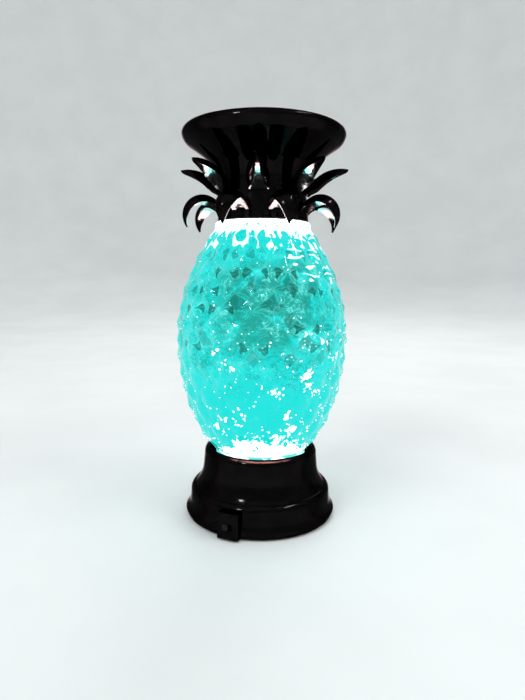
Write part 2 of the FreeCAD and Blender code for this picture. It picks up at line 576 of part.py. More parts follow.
def contact(label, side, rows, spring_row, tab_row):
    """Contact strip on the bay's end wall: side +1 is at +X. spring_row gets the bowed spring."""
    middle = "%s * cell_pitch" % (sum(rows) / len(rows))
    span = "%d * cell_pitch + contact_width" % (len(rows) - 1)
    x = "%d * (bay_length / 2 - contact_thickness / 2)" % side
    pieces = [box(label + "_strip", "contact_thickness", span, "contact_height", x, middle,
                  "cell_axis - contact_height / 2")]
    if spring_row is not None:
        pieces.append(leaf_spring(label + "_spring", -side, spring_row))
    if tab_row is not None:
        pieces.append(box(label + "_tab", "contact_thickness", "contact_tab_width",
                          "bay_top + contact_tab_rise - cell_axis", x, "%d * cell_pitch" % tab_row,
                          "cell_axis"))
    return fuse(label, pieces)


# Switch body, its screws and the sliding knob, in the pod

def switch_body():
    body = box("switch_case", "switch_width", "switch_depth", "switch_height", "0",
               "-(ear_front - switch_depth / 2)", "switch_level - switch_height / 2")
    ears = box("switch_ears", "ear_width", "ear_thickness", "switch_height", "0",
               "-(ear_front - ear_thickness / 2)", "switch_level - switch_height / 2")
    slot = box("switch_slot", "stem_width + knob_travel + 2 * knob_gap", "2 * stem_depth + 2 * knob_gap",
               "stem_height + 2 * knob_gap", "0", "-ear_front", "switch_level - stem_height / 2 - knob_gap")
    holes = []
    terminals = []
    for index, side in enumerate((-1, 1)):
        holes.append(cylinder("ear_hole_%d" % index, "ear_screw_radius", "ear_thickness",
                              "%d * ear_screw_pitch / 2" % side, "-(ear_front - ear_thickness)",
                              "switch_level", "y"))
        terminals.append(box("terminal_%d" % index, "terminal_width", "terminal_length",
                             "terminal_thickness", "%d * switch_width / 4" % side,
                             "-(ear_front - switch_depth - terminal_length / 2)", "switch_level"))
    made = cut("switch_made", fuse("switch_blank", [body, ears] + terminals), [slot] + holes)
    return pod_item(group("switch_body", [made]))


def switch_knob():
    rest_x = "-knob_travel / 2"
    cap = box("knob_cap", "knob_width", "knob_depth", "knob_height", rest_x,
              "-(pod_face + knob_proud - knob_depth / 2)", "switch_level - knob_height / 2")
    stem = box("knob_stem", "stem_width", "stem_depth + 2 * knob_gap", "stem_height", rest_x,
               "-(ear_front - stem_depth / 2)", "switch_level - stem_height / 2")
    ribs = [box("knob_groove_%d" % index, "knob_rib", "knob_rib", "knob_height",
                rest_x + " + %d * 2 * knob_rib" % index, "-(pod_face + knob_proud)",
                "switch_level - knob_height / 2") for index in (-1, 0, 1)]
    made = cut("knob_made", fuse("knob_blank", [cap, stem]), ribs)
    return pod_item(group("switch_knob", [made]))


def switch_screws():
    made = []
    for index, side in enumerate((-1, 1)):
        x = "%d * ear_screw_pitch / 2" % side
        head = cylinder("ear_screw_head_%d" % index, "ear_head_radius", "ear_head_height", x,
                        "-(ear_front - ear_thickness - ear_head_height)", "switch_level", "y")
        shank = cylinder("ear_screw_shank_%d" % index, "ear_screw_radius",
                         "ear_thickness + ear_boss_length", x, "-(ear_front - ear_thickness)",
                         "switch_level", "y")
        made.append(fuse("ear_screw_%d" % index, [head, shank]))
    return pod_item(group("switch_screws", made))


# Light board with its lamps, the motor bracket and the motor

def led_board():
    disc = cylinder("board_disc", "board_radius", "board_thickness", z="board_bottom")
    holes = [cylinder("board_hole", "board_hole_radius", "board_thickness", z="board_bottom")]
    for index, angle in enumerate(BRACKET_ANGLES):
        x, y = around("bracket_circle", angle)
        holes.append(cylinder("board_bore_%d" % index, "bracket_screw_radius", "board_thickness",
                              x, y, "board_bottom"))
    chips = []
    for index, angle in enumerate(CHIP_ANGLES):
        chip = box("chip_%d" % index, "chip_length", "chip_width", "chip_height", "chip_circle", "0",
                   "board_bottom - chip_height")
        chips.append(spin(group("board_chip_%d" % index, [chip]), str(angle)))
    return fuse("led_board", [cut("board_ring", disc, holes)] + chips)


def leds():
    count = int(size("led_count"))
    made = []
    for index in range(count):
        x, y = around("led_circle", "(%s + led_angle)" % (360 * index / count))
        flange = cylinder("led_flange_%d" % index, "led_flange_radius", "led_flange_height",
                          x, y, "board_top")
        stalk = cylinder("led_stalk_%d" % index, "led_radius", "led_flange_height + led_height", x, y,
                         "board_top")
        dome = document.addObject("Part::Sphere", "led_dome_%d" % index)
        bind(dome, Radius="led_radius")
        dome.Angle1 = 0
        place(dome, x, y, "led_lens_foot")
        above = box("led_room_%d" % index, "3 * led_radius", "3 * led_radius", "2 * led_radius", x, y,
                    "led_lens_foot + led_radius * lens_share")
        made.append(fuse("led_%d" % index, [flange, stalk, cut("led_lens_%d" % index, dome, [above])]))
    return group("leds", made)


def motor_bracket():
    disc = cylinder("bracket_disc", "bracket_disc_radius", "bracket_thickness", z="bracket_bottom")
    arms = []
    holes = [cylinder("bracket_motor_hole", "motor_boss_radius + seat_gap", "bracket_thickness",
                      z="bracket_bottom")]
    for index, angle in enumerate(BRACKET_ANGLES):
        arm = box("arm_%d" % index, "bracket_circle", "arm_width", "bracket_thickness",
                  "bracket_circle / 2", "0", "bracket_bottom")
        end = cylinder("arm_end_%d" % index, "arm_width / 2", "bracket_thickness", "bracket_circle", "0",
                       "bracket_bottom")
        shape = fuse("arm_shape_%d" % index, [arm, end])
        arms.append(spin(group("bracket_arm_%d" % index, [shape]), str(angle)))
        x, y = around("bracket_circle", angle)
        holes.append(cylinder("arm_bore_%d" % index, "bracket_screw_radius", "bracket_thickness", x, y,
                              "bracket_bottom"))
    for index, side in enumerate((-1, 1)):
        holes.append(cylinder("motor_fixing_%d" % index, "motor_screw_radius", "bracket_thickness",
                              "%d * motor_screw_circle" % side, "0", "bracket_bottom"))
    return cut("motor_bracket", fuse("bracket_blank", [disc] + arms), holes)


def motor_can():
    can = fuse("motor_blank", [
        cylinder("motor_drum", "motor_radius", "motor_height", z="motor_bottom"),
        cylinder("motor_boss", "motor_boss_radius", "motor_height + motor_boss_height", z="motor_bottom")])
    tools = [cylinder("motor_bore", "shaft_radius + shaft_gap", "motor_height + motor_boss_height",
                      z="motor_bottom + motor_floor")]
    for index, side in enumerate((-1, 1)):
        tools.append(cylinder("motor_tap_%d" % index, "motor_screw_radius", "motor_screw_depth",
                              "%d * motor_screw_circle" % side, "0", "bracket_bottom - motor_screw_depth"))
    return cut("motor_can", can, tools)


def motor_end_cap():
    cap = cylinder("motor_cap_disc", "motor_radius - motor_cap_inset", "motor_cap_height",
                   z="motor_bottom - motor_cap_height")
    lugs = [box("motor_lug_%d" % index, "terminal_width", "terminal_thickness",
                "motor_cap_height + terminal_length / 2", "%d * motor_radius / 2" % side,
                "motor_radius / 2", "motor_bottom - motor_cap_height - terminal_length / 2")
            for index, side in enumerate((-1, 1))]
    return fuse("motor_end_cap", [cap] + lugs)


def magnet_carrier():
    disc = cylinder("carrier_disc", "carrier_radius", "carrier_height", z="carrier_bottom")
    tools = [cylinder("carrier_bore", "shaft_radius", "carrier_height - carrier_floor",
                      z="carrier_bottom")]
    for index, side in enumerate((-1, 1)):
        tools.append(cylinder("carrier_pocket_%d" % index, "magnet_radius", "magnet_height",
                              "%d * magnet_circle" % side, "0", "carrier_top - magnet_height"))
    return cut("magnet_carrier", disc, tools)


def magnets(label, z):
    return group(label, [cylinder(label + "_%d" % index, "magnet_radius", "magnet_height",
                                  "%d * magnet_circle" % side, "0", z) for index, side in enumerate((-1, 1))])


# Bottom plug of the vessel, with the impeller on its pin under a slotted guard

def bottom_plug():
    blank = turned("plug_blank", [
        ("axis", "shelf_top"), ("plug_radius", "shelf_top"), ("plug_radius", "vessel_bottom"),
        ("spigot_radius", "vessel_bottom"), ("spigot_radius", "groove_low"), ("groove_radius", "groove_low"),
        ("groove_radius", "groove_high"), ("spigot_radius", "groove_high"), ("spigot_radius", "spigot_top"),
        ("spigot_inner", "spigot_top"), ("spigot_inner", "plug_inside"), ("pin_boss_radius", "plug_inside"),
        ("pin_boss_radius", "pin_boss_top"), ("pin_radius", "pin_boss_top"), ("pin_radius", "pin_foot"),
        ("axis", "pin_foot"),
    ])
    holes = []
    for index, angle in enumerate(VESSEL_SCREW_ANGLES):
        x, y = around("vessel_screw_circle", angle)
        holes.append(cylinder("plug_tap_%d" % index, "screw_radius", "vessel_screw_bury", x, y, "shelf_top"))
    return cut("bottom_plug", blank, holes)


def plug_seal():
    ring = document.addObject("Part::Torus", "plug_seal")
    bind(ring, Radius1="groove_radius + seal_radius", Radius2="seal_radius")
    return place(ring, z="(groove_low + groove_high) / 2")


def impeller():
    count = int(size("blade_count"))
    parts = [cylinder("impeller_disc", "impeller_disc_radius", "impeller_disc_height", z="impeller_bottom"),
             cylinder("impeller_hub", "impeller_hub_radius", "impeller_height", z="impeller_bottom")]
    for index in range(count):
        blade = box("blade_shape_%d" % index, "blade_reach - impeller_hub_radius / 2", "blade_thickness",
                    "impeller_height - impeller_disc_height + blade_root",
                    "(blade_reach + impeller_hub_radius / 2) / 2", "0",
                    "impeller_bottom + impeller_disc_height - blade_root")
        parts.append(spin(group("blade_%d" % index, [blade]), str(360 / count * index)))
    tools = [cylinder("impeller_bore", "pin_radius + shaft_gap", "impeller_height", z="impeller_bottom")]
    for index, side in enumerate((-1, 1)):
        tools.append(cylinder("impeller_pocket_%d" % index, "magnet_radius", "magnet_height",
                              "%d * magnet_circle" % side, "0", "impeller_bottom"))
    return cut("impeller", fuse("impeller_blank", parts), tools)


def impeller_guard():
    disc = cylinder("guard_disc", "spigot_radius", "guard_thickness", z="spigot_top")
    count = int(size("guard_slot_count"))
    slots = []
    for index in range(count):
        slot = box("slot_shape_%d" % index, "spigot_radius - guard_rim - guard_slot_inner",
                   "guard_slot_width", "guard_thickness",
                   "(spigot_radius - guard_rim + guard_slot_inner) / 2", "0", "spigot_top")
        slots.append(spin(group("guard_slot_%d" % index, [slot]),
                          "%s + guard_slot_angle" % (360 / count * index)))
    return cut("impeller_guard", disc, slots)


# Vessel: rows of pyramid bosses, staggered, over a smooth inside

BOSSES_AROUND = 16
BOSS_ROWS = 13
WALL_STATIONS = 9


def envelope(level):
    """Radius over the tips of the bosses at a height."""
    if level < size("waist_level"):
        end_radius, reach = size("vessel_foot_radius"), size("lower_height")
        ratio, power = size("lower_reach_ratio"), size("lower_power")
    else:
        end_radius, reach = size("vessel_top_radius"), size("upper_height")
        ratio, power = size("upper_reach_ratio"), size("upper_power")
    part = abs(level - size("waist_level")) / reach
    fall = (1 - (part / ratio) ** 2) ** power
    end_fall = (1 - 1 / ratio ** 2) ** power
    return end_radius + (size("vessel_radius") - end_radius) * (fall - end_fall) / (1 - end_fall)


def lattice():
    """Rings of points up the vessel: boss tips and the valley corners between them, by turns."""
    low = size("relief_foot") + size("relief_low_margin")
    high = size("relief_head") - size("relief_high_margin")
    step = math.pi / BOSSES_AROUND
    front = math.radians(size("boss_angle") - 90)
    levels = [low + (high - low) * row / (BOSS_ROWS - 1) for row in range(BOSS_ROWS)]
    rings = []
    for row, level in enumerate(levels):
        ring = []
        for column in range(2 * BOSSES_AROUND):
            is_tip = (column + row) % 2 == 0
            radius = envelope(level) - (0 if is_tip else size("relief_depth"))
            angle = front + column * step
            ring.append(Vector(radius * math.cos(angle), radius * math.sin(angle), level))
        rings.append(ring)

    def plain_ring(radius, level):
        angles = [front + column * step for column in range(2 * BOSSES_AROUND)]
        return [Vector(radius * math.cos(angle), radius * math.sin(angle), level) for angle in angles]

    foot = plain_ring(size("vessel_foot_radius"), size("relief_foot"))
    head = plain_ring(size("vessel_top_radius"), size("relief_head"))
    return [foot] + rings + [head]


def faceted_vessel():
    rings = lattice()
    total = 2 * BOSSES_AROUND
    faces = []
    for lower in range(len(rings) - 1):
        for column in range(total):
            following = (column + 1) % total
            a, b = rings[lower][column], rings[lower][following]
            c, d = rings[lower + 1][following], rings[lower + 1][column]
            # The valley between two bosses runs along one diagonal of the quad
            if (column + lower) % 2 == 1:
                triangles = [(a, b, d), (b, c, d)]
            else:
                triangles = [(a, b, c), (a, c, d)]
            for triangle in triangles:
                faces.append(Part.Face(Part.makePolygon(list(triangle) + [triangle[0]])))
    faces.append(Part.Face(Part.makePolygon(rings[0] + [rings[0][0]])))
    faces.append(Part.Face(Part.makePolygon(rings[-1] + [rings[-1][0]])))
    shell = Part.makeShell(faces)
    return Part.makeSolid(shell)


def wall_curve(gap):
    """Curve of the vessel's smooth inside, moved inward by a gap, from the foot ring to the head."""
    low, high = size("relief_foot"), size("relief_head")
    inset = size("relief_depth") + size("vessel_wall") + gap
    points = []
    for station in range(WALL_STATIONS):
        level = low + (high - low) * station / (WALL_STATIONS - 1)
        points.append(Vector(envelope(level) - inset, 0, level))
    curve = Part.BSplineCurve()
    curve.interpolate(points)
    return curve, points


def spun(corners, curve, curve_start):
    """Solid turned from corners, with a curve in place of the stretch that starts at one of them."""
    edges = []
    for index, corner in enumerate(corners):
        following = corners[(index + 1) % len(corners)]
        if index == curve_start:
            edges.append(curve.toShape())
        else:
            edges.append(Part.LineSegment(corner, following).toShape())
    face = Part.Face(Part.Wire(Part.__sortEdges__(edges)))
    return face.revolve(Vector(), Vector(0, 0, 1), 360)


def vessel():
    body = solid("vessel_facets", faceted_vessel())
    foot = cylinder("vessel_foot", "foot_ring_radius", "foot_ring_height + fuse_depth", z="vessel_bottom")
    shoulder = cylinder("vessel_shoulder", "shoulder_ring_radius", "shoulder_ring_height + fuse_depth",
                        z="relief_head - fuse_depth")
    neck = cylinder("vessel_neck", "fill_neck_radius", "fill_neck_height + fuse_depth",
                    z="neck_shoulder - fuse_depth")
    curve, points = wall_curve(0.0)
    high = points[-1]
    roof = Vector(size("fill_neck_inner"), 0,
                  high.z + (high.x - size("fill_neck_inner")) * size("roof_slope"))
    corners = [Vector(0, 0, points[0].z), points[0], high, roof, Vector(0, 0, roof.z)]
    cavity = solid("vessel_cavity", spun(corners, curve, 1))
    opening = cylinder("vessel_opening", "opening_radius", "foot_ring_height + fuse_depth",
                       z="vessel_bottom")
    mouth = cylinder("vessel_mouth", "fill_neck_inner", "fill_neck_top - relief_head", z="relief_head")
    return cut("vessel", fuse("vessel_blank", [body, foot, shoulder, neck]), [cavity, opening, mouth])


FLAKES = 64
FLAKE_ASPECT = 0.8
GOLDEN_ANGLE = 137.5
GOLDEN_SHARE = 0.618
# The flakes are denser low down and near the wall
SETTLING = 1.4
OUTER_SHARE = 0.55


def flake_shapes():
    """Glitter plates on a spiral that fills the liquid, each leaning its own way."""
    low = size("relief_foot") + size("flake_low")
    high = size("relief_head") - size("flake_high")
    edge = size("flake_size")
    width = edge * FLAKE_ASPECT
    thickness = size("flake_thickness")
    made = []
    for index in range(FLAKES):
        level = low + (high - low) * ((index * GOLDEN_SHARE) % 1) ** SETTLING
        room = envelope(level) - size("relief_depth") - size("vessel_wall") - size("flake_margin")
        radius = room * (OUTER_SHARE + (1 - OUTER_SHARE) * ((index * 0.377) % 1))
        angle = math.radians(GOLDEN_ANGLE * index)
        plate = Part.makeBox(edge, width, thickness, Vector(-edge / 2, -width / 2, -thickness / 2))
        lean = Rotation(GOLDEN_ANGLE * index, 35 + 47 * index % 90, 61 * index % 180)
        plate.Placement = Placement(Vector(radius * math.cos(angle), radius * math.sin(angle), level), lean)
        made.append(plate)
    return made


def liquid(flakes):
    gap = size("liquid_gap")
    curve, points = wall_curve(gap)
    low, high = points[0], points[-1]
    inner = size("opening_radius") + gap
    floor = size("guard_top") + gap
    neck = size("fill_neck_inner") - gap
    roof = high.z + (high.x - neck) * size("roof_slope")
    top = size("stopper_bottom") - gap
    raised = [Vector(inner, 0, low.z), low, high, Vector(neck, 0, roof), Vector(neck, 0, top),
              Vector(0, 0, top), Vector(0, 0, floor), Vector(inner, 0, floor)]
    return cut("liquid", solid("liquid_bulk", spun(raised, curve, 1)), [flakes])


# Leaves: a crescent section carried along an arc, from inside the ring to the tip

LEAF_STATIONS = 9


def leaf(arc_radius, centre, start, end, widths, thickness, crown):
    """widths gives the share of full width at each station, as does crown for the hollow."""
    wires = []
    for station, (width, hollow, depth) in enumerate(zip(widths, crown, thickness)):
        angle = math.radians(start + (end - start) * station / (len(widths) - 1))
        normal = Vector(math.cos(angle), 0, math.sin(angle))
        crest = centre + normal * arc_radius
        middle = crest - normal * hollow
        side = Vector(0, width / 2, 0)
        edge = normal * (depth * 0.2)
        low = [middle - side - edge, crest - normal * (depth / 2), middle + side - edge]
        high = [middle - side + edge, crest + normal * (depth / 2), middle + side + edge]
        wires.append(Part.Wire([
            Part.Arc(*low).toShape(), Part.LineSegment(low[2], high[2]).toShape(),
            Part.Arc(high[2], high[1], high[0]).toShape(), Part.LineSegment(high[0], low[0]).toShape()]))
    return Part.makeLoft(wires, True, False)


def lower_leaf_share(share):
    """Share of the full width along a lower leaf: full at the middle and drawn in to a tip."""
    if share < 0.45:
        return 0.72 + 0.28 * math.sin(math.pi * share / 0.9)
    return 0.08 + 0.92 * math.cos(math.pi * (share - 0.45) / 1.1) ** 0.9


def upper_leaf_share(share):
    """Share of the full width along an upper leaf, whose widest place is nearer its root."""
    if share < 0.3:
        return 0.85 + 0.15 * math.sin(math.pi * share / 0.6)
    return 0.1 + 0.9 * math.cos(math.pi * (share - 0.3) / 1.4) ** 0.9


def leaf_tier(label, tier, centre, full_width):
    """Eight leaves of a tier, turned to their places about the axis."""
    shares = [station / (LEAF_STATIONS - 1) for station in range(LEAF_STATIONS)]
    widths = [size(tier + "_leaf_width") * full_width(share) for share in shares]
    crowns = [size(tier + "_leaf_crown") * math.sin(math.pi * min(1, 0.12 + share)) ** 0.8
              for share in shares]
    depths = [size(tier + "_leaf_thickness") * (1 - 0.55 * share) for share in shares]
    start, end = size(tier + "_leaf_start_angle"), size(tier + "_leaf_end_angle")
    one = leaf(size(tier + "_leaf_arc"), centre, start, end, widths, depths, crowns)
    leaves = []
    for index in range(8):
        copy = one.copy()
        copy.rotate(Vector(), Vector(0, 0, 1), size(tier + "_leaf_angle") - 90 + 45 * index)
        leaves.append(copy)
    return solid(label, Part.makeCompound(leaves))


def crown_bores(label, low, high, radius):
    made = []
    for index, angle in enumerate(BRACKET_ANGLES):
        x, y = around("crown_screw_circle", angle)
        made.append(cylinder("%s_%d" % (label, index), radius, "%s - %s" % (high, low), x, y, low))
    return made


def lower_leaf_ring():
    collar = turned("collar", [
        ("collar_bore_radius", "collar_bottom"), ("collar_foot_radius", "collar_bottom"),
        ("collar_top_radius", "collar_top"), ("collar_hole_radius", "collar_top"),
        ("collar_hole_radius", "collar_ceiling"), ("collar_bore_radius", "collar_ceiling")])
    arc = size("lower_leaf_arc")
    centre = Vector(size("collar_top_radius") + arc - size("lower_leaf_sink"), 0,
                    size("collar_top") - size("lower_leaf_drop"))
    leaves = leaf_tier("lower_leaves", "lower", centre, lower_leaf_share)
    bore = cylinder("collar_bore", "collar_bore_radius", "collar_ceiling - collar_bottom",
                    z="collar_bottom")
    return cut("lower_leaf_ring", fuse("lower_ring_blank", [collar, leaves]),
               [bore] + crown_bores("collar_screw_bore", "collar_ceiling", "collar_top",
                                    "crown_screw_radius + screw_gap"))


def upper_leaf_ring():
    ring = turned("upper_ring", [
        ("upper_hole_radius", "collar_top"), ("stem_radius", "collar_top"), ("stem_radius", "dish_foot"),
        ("stem_inner", "dish_foot"), ("stem_inner", "upper_flange_top"),
        ("upper_hole_radius", "upper_flange_top")])
    arc = size("upper_leaf_arc")
    centre = Vector(size("stem_radius") + arc - size("upper_leaf_sink"), 0,
                    size("collar_top") - size("upper_leaf_drop"))
    leaves = leaf_tier("upper_leaves", "upper", centre, upper_leaf_share)
    bore = cylinder("upper_ring_bore", "stem_inner", "upper_ring_height - upper_flange",
                    z="upper_flange_top")
    return cut("upper_leaf_ring", fuse("upper_ring_blank", [ring, leaves]),
               [bore] + crown_bores("upper_screw_bore", "collar_top", "upper_flange_top",
                                    "crown_screw_radius + screw_gap"))


def candle_dish():
    flare = turned("dish_flare", [
        ("stem_inner", "dish_foot"), ("stem_radius", "dish_foot"), ("cup_radius", "cup_top"),
        ("bowl_radius", "bowl_top"), ("edge_radius", "edge_level"), ("rim_top_radius", "dish_top"),
        ("recess_lip", "dish_top"), ("recess_radius", "recess_top"), ("recess_radius", "tray_top"),
        ("tray_pocket_radius", "tray_top"), ("tray_pocket_radius", "tray_seat"),
        ("tray_seat_inner", "tray_seat"), ("tray_seat_inner", "tray_seat_foot"),
        ("cup_inner", "cup_inner_top"),
    ], {1: ("cup_hollow", -1), 2: ("bowl_hollow", -1), 3: ("edge_bulge", 1), 4: ("rim_bulge", 1),
        13: ("cup_hollow", 1)})
    bosses = []
    for index, angle in enumerate(BRACKET_ANGLES):
        x, y = around("crown_screw_circle", angle)
        bosses.append(cylinder("dish_boss_%d" % index, "crown_boss_radius",
                               "crown_screw_bury + crown_boss_over", x, y, "upper_flange_top"))
        web = box("dish_web_shape_%d" % index, "stem_radius - crown_screw_circle - dish_wall / 2",
                  "dish_wall",
                  "crown_screw_bury + crown_boss_over + upper_flange_top - dish_foot - web_inset",
                  "(stem_radius + crown_screw_circle - dish_wall / 2) / 2", "0", "dish_foot + web_inset")
        bosses.append(spin(group("dish_web_%d" % index, [web]), str(angle)))
    taps = crown_bores("dish_tap", "upper_flange_top", "upper_flange_top + crown_screw_bury",
                       "crown_screw_radius")
    return cut("candle_dish", fuse("dish_blank", [flare] + bosses), taps)


def screws(label, circle, angles, z, radius, length, head_radius, head_height):
    made = []
    for index, angle in enumerate(angles):
        x, y = around(circle, angle)
        made.append(screw("%s_%d" % (label, index), x, y, z, radius, length, head_radius, head_height))
    return group(label, made)


# Wires, held between the cell contacts, the switch, the light board and the motor

WIRE_RADIUS = 0.6


def wire(label, points):
    """Tube along straight runs joined by arcs, as large as the runs beside each corner allow."""
    path = []
    radii = []
    start = points[0]
    for before, corner, after in zip(points, points[1:], points[2:]):
        arriving = (corner - before).normalize()
        leaving = (after - corner).normalize()
        turn = arriving.getAngle(leaving)
        reach = 0.45 * min((corner - before).Length, (after - corner).Length)
        radii.append(reach / math.tan(turn / 2))
        first = corner - arriving * reach
        last = corner + leaving * reach
        inward = (leaving - arriving).normalize()
        middle = corner + inward * (radii[-1] * (1 / math.cos(turn / 2) - 1))
        path.append(Part.LineSegment(start, first).toShape())
        path.append(Part.Arc(first, middle, last).toShape())
        start = last
    path.append(Part.LineSegment(start, points[-1]).toShape())
    spine = Part.Wire(path)
    direction = points[1] - points[0]
    section = Part.Wire(Part.makeCircle(WIRE_RADIUS, points[0], direction))
    tube = spine.makePipeShell([section], True, False)
    expected = math.pi * WIRE_RADIUS ** 2 * spine.Length
    print("%s: length %.1f, tightest arc %.1f, volume %.3f of expected" % (
        label, spine.Length, min(radii), tube.Volume / expected))
    return solid(label, tube)


def on_pod(along, outward, level):
    """A point given in the pod's own directions."""
    point = Vector(along, -outward, level)
    return Rotation(Vector(0, 0, 1), size("pod_angle")).multVec(point)


def wires():
    """Each wire leaves the face that it is soldered to at a right angle."""
    tab_x = size("bay_length") / 2
    tab_y = size("cell_pitch")
    tab_z = size("bay_top") + size("contact_tab_rise") / 2 + 0.3
    terminal = size("ear_front") - size("switch_depth") - size("terminal_length")
    level = size("switch_level") + size("terminal_thickness") / 2
    board = size("board_bottom")
    left, right = -size("switch_width") / 4, size("switch_width") / 4
    lug_y = size("motor_radius") / 2 + size("terminal_thickness") / 2
    motor_level = (size("bay_top") + size("motor_bottom") - size("motor_cap_height")) / 2
    made = [
        wire("wire_cell_to_switch", [
            Vector(-tab_x, -tab_y, tab_z), Vector(-tab_x - 5.2, -tab_y, tab_z), Vector(-32.5, -23.5, 20.0),
            Vector(-26.5, -32.0, 16.5), on_pod(-4.5, 42.0, 12.5), on_pod(left, 46.0, level),
            on_pod(left, terminal, level)]),
        wire("wire_switch_to_board", [
            on_pod(right, terminal, level), on_pod(right, 44.0, level), on_pod(3.4, 40.0, 18.5),
            on_pod(4.5, 35.0, 26.5), on_pod(4.5, 30.5, 30.5), on_pod(4.5, 30.5, board)]),
        wire("wire_cell_to_board", [
            Vector(tab_x, tab_y, tab_z), Vector(tab_x + 5.2, tab_y, tab_z), Vector(33.2, 11.5, 28.5),
            Vector(29.0, 10.0, 31.0), Vector(29.0, 10.0, board)]),
    ]
    for label, side in (("motor_lead_red", 1), ("motor_lead_black", -1)):
        made.append(wire(label, [
            Vector(side * 6.1, lug_y, motor_level), Vector(side * 6.1, 12.0, motor_level),
            Vector(side * 9.0, 15.5, 25.0), Vector(side * 9.6, 12.5, 30.0), Vector(side * 9.6, 12.5, board)]))
    return made


# The whole lamp, one entry for each sub-part

flakes = solid("glitter_flakes", Part.makeCompound(flake_shapes()))
nodes = [base_housing(), bottom_plate(), battery_door()]
nodes.append(screw("door_screw", "0", "door_screw_y", "base_bottom + door_thickness / 2", "screw_radius",
                   "screw_length - door_thickness", "screw_head_radius", "door_thickness / 2 - 0.1"))
nodes.append(screws("bottom_screws", "bottom_screw_circle", SCREW_ANGLES,
                    "base_bottom + screw_head_height + screw_gap", "screw_radius", "screw_length",
                    "screw_head_radius", "screw_head_height"))
for number, angle in enumerate(FOOT_ANGLES, 1):
    x, y = around("foot_circle", angle)
    nodes.append(cylinder("rubber_foot_%d" % number, "foot_radius", "foot_height", x, y))
for number, row in enumerate(CELL_ROWS, 1):
    nodes.append(battery(number, row))
nodes += [contact("contact_negative", -1, [-1], -1, -1), contact("contact_link_left", -1, [0, 1], 1, None),
          contact("contact_link_right", 1, [-1, 0], 0, None), contact("contact_positive", 1, [1], None, 1)]
nodes += [switch_body(), switch_knob(), switch_screws(), led_board(), leds(), motor_bracket()]
nodes.append(screws("bracket_screws", "bracket_circle", BRACKET_ANGLES, "bracket_bottom",
                    "bracket_screw_radius", "bracket_thickness + board_thickness + board_drop"
                    " - bracket_bore_floor - bracket_screw_gap",
                    "bracket_head_radius", "bracket_head_height"))
nodes += [motor_can(), motor_end_cap()]
nodes.append(group("motor_screws", [
    screw("motor_screw_%d" % index, "%d * motor_screw_circle" % side, "0", "board_bottom",
          "motor_screw_radius", "bracket_thickness + motor_screw_depth", "motor_head_radius",
          "motor_head_height", False) for index, side in enumerate((-1, 1))]))
nodes.append(cylinder("motor_shaft", "shaft_radius", "carrier_top - carrier_floor - shaft_bottom",
                      z="shaft_bottom"))
nodes += [magnet_carrier(), magnets("drive_magnets", "carrier_top - magnet_height")]
diffuser = cylinder("diffuser_disc", "diffuser_radius", "diffuser_thickness", z="diffuser_seat")
diffuser_hole = cylinder("diffuser_hole", "diffuser_hole_radius", "diffuser_thickness", z="diffuser_seat")
nodes.append(cut("light_diffuser", diffuser, [diffuser_hole]))
nodes.append(screws("vessel_screws", "vessel_screw_circle", VESSEL_SCREW_ANGLES, "shelf_bottom",
                    "screw_radius", "shelf_thickness + vessel_screw_bury", "screw_head_radius",
                    "screw_head_height"))
nodes += [bottom_plug(), plug_seal(), impeller(), magnets("impeller_magnets", "impeller_bottom")]
nodes.append(cylinder("impeller_pin", "pin_radius", "impeller_top + pin_over - pin_foot", z="pin_foot"))
nodes += [impeller_guard(), vessel(), liquid(flakes), flakes]
nodes.append(cut("vessel_gasket", cylinder("gasket_disc", "foot_ring_radius", "plug_flange", z="shelf_top"),
                 [cylinder("gasket_hole", "foot_ring_radius - gasket_width", "plug_flange", z="shelf_top")]))
nodes.append(fuse("fill_stopper", [
    cylinder("stopper_flange_disc", "fill_neck_radius", "stopper_flange", z="fill_neck_top"),
    cylinder("stopper_spigot", "fill_neck_inner - stopper_gap", "stopper_depth", z="stopper_bottom")]))
nodes.append(cut("neck_seal", cylinder("neck_seal_disc", "neck_seal_radius", "neck_seal_thickness",
                                       z="neck_shoulder"),
                 [cylinder("neck_seal_hole", "neck_seal_radius - neck_seal_width", "neck_seal_thickness",
                           z="neck_shoulder")]))
nodes += [lower_leaf_ring(), upper_leaf_ring(), candle_dish()]
nodes.append(cylinder("candle_tray", "tray_pocket_radius - tray_gap", "tray_thickness", z="tray_seat"))
nodes.append(screws("crown_screws", "crown_screw_circle", BRACKET_ANGLES, "collar_ceiling",
                    "crown_screw_radius", "collar_flange + upper_flange + crown_screw_bury - crown_screw_gap",
                    "crown_head_radius", "crown_head_height"))
nodes += wires()
document.recompute()

for item in document.Objects:
    if "Invalid" in item.State or "Error" in item.State:
        raise RuntimeError("%s did not build: %s" % (item.Label, item.State))
for node in nodes:
    shape = node.Shape
    if shape.isNull() or not shape.isValid() or not shape.Solids or shape.Volume <= 0:
        raise RuntimeError("%s has no valid solid" % node.Label)

os.makedirs("parts", exist_ok=True)
for node in nodes:
    node.Shape.exportStep(os.path.join("parts", node.Label + ".step"))
    print("%-24s solids %2d  volume %10.1f" % (node.Label, len(node.Shape.Solids), node.Shape.Volume))
print(len(nodes), "sub-parts")
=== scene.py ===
import json
import math
import random

import bpy
import numpy as np
from mathutils import Matrix, Vector


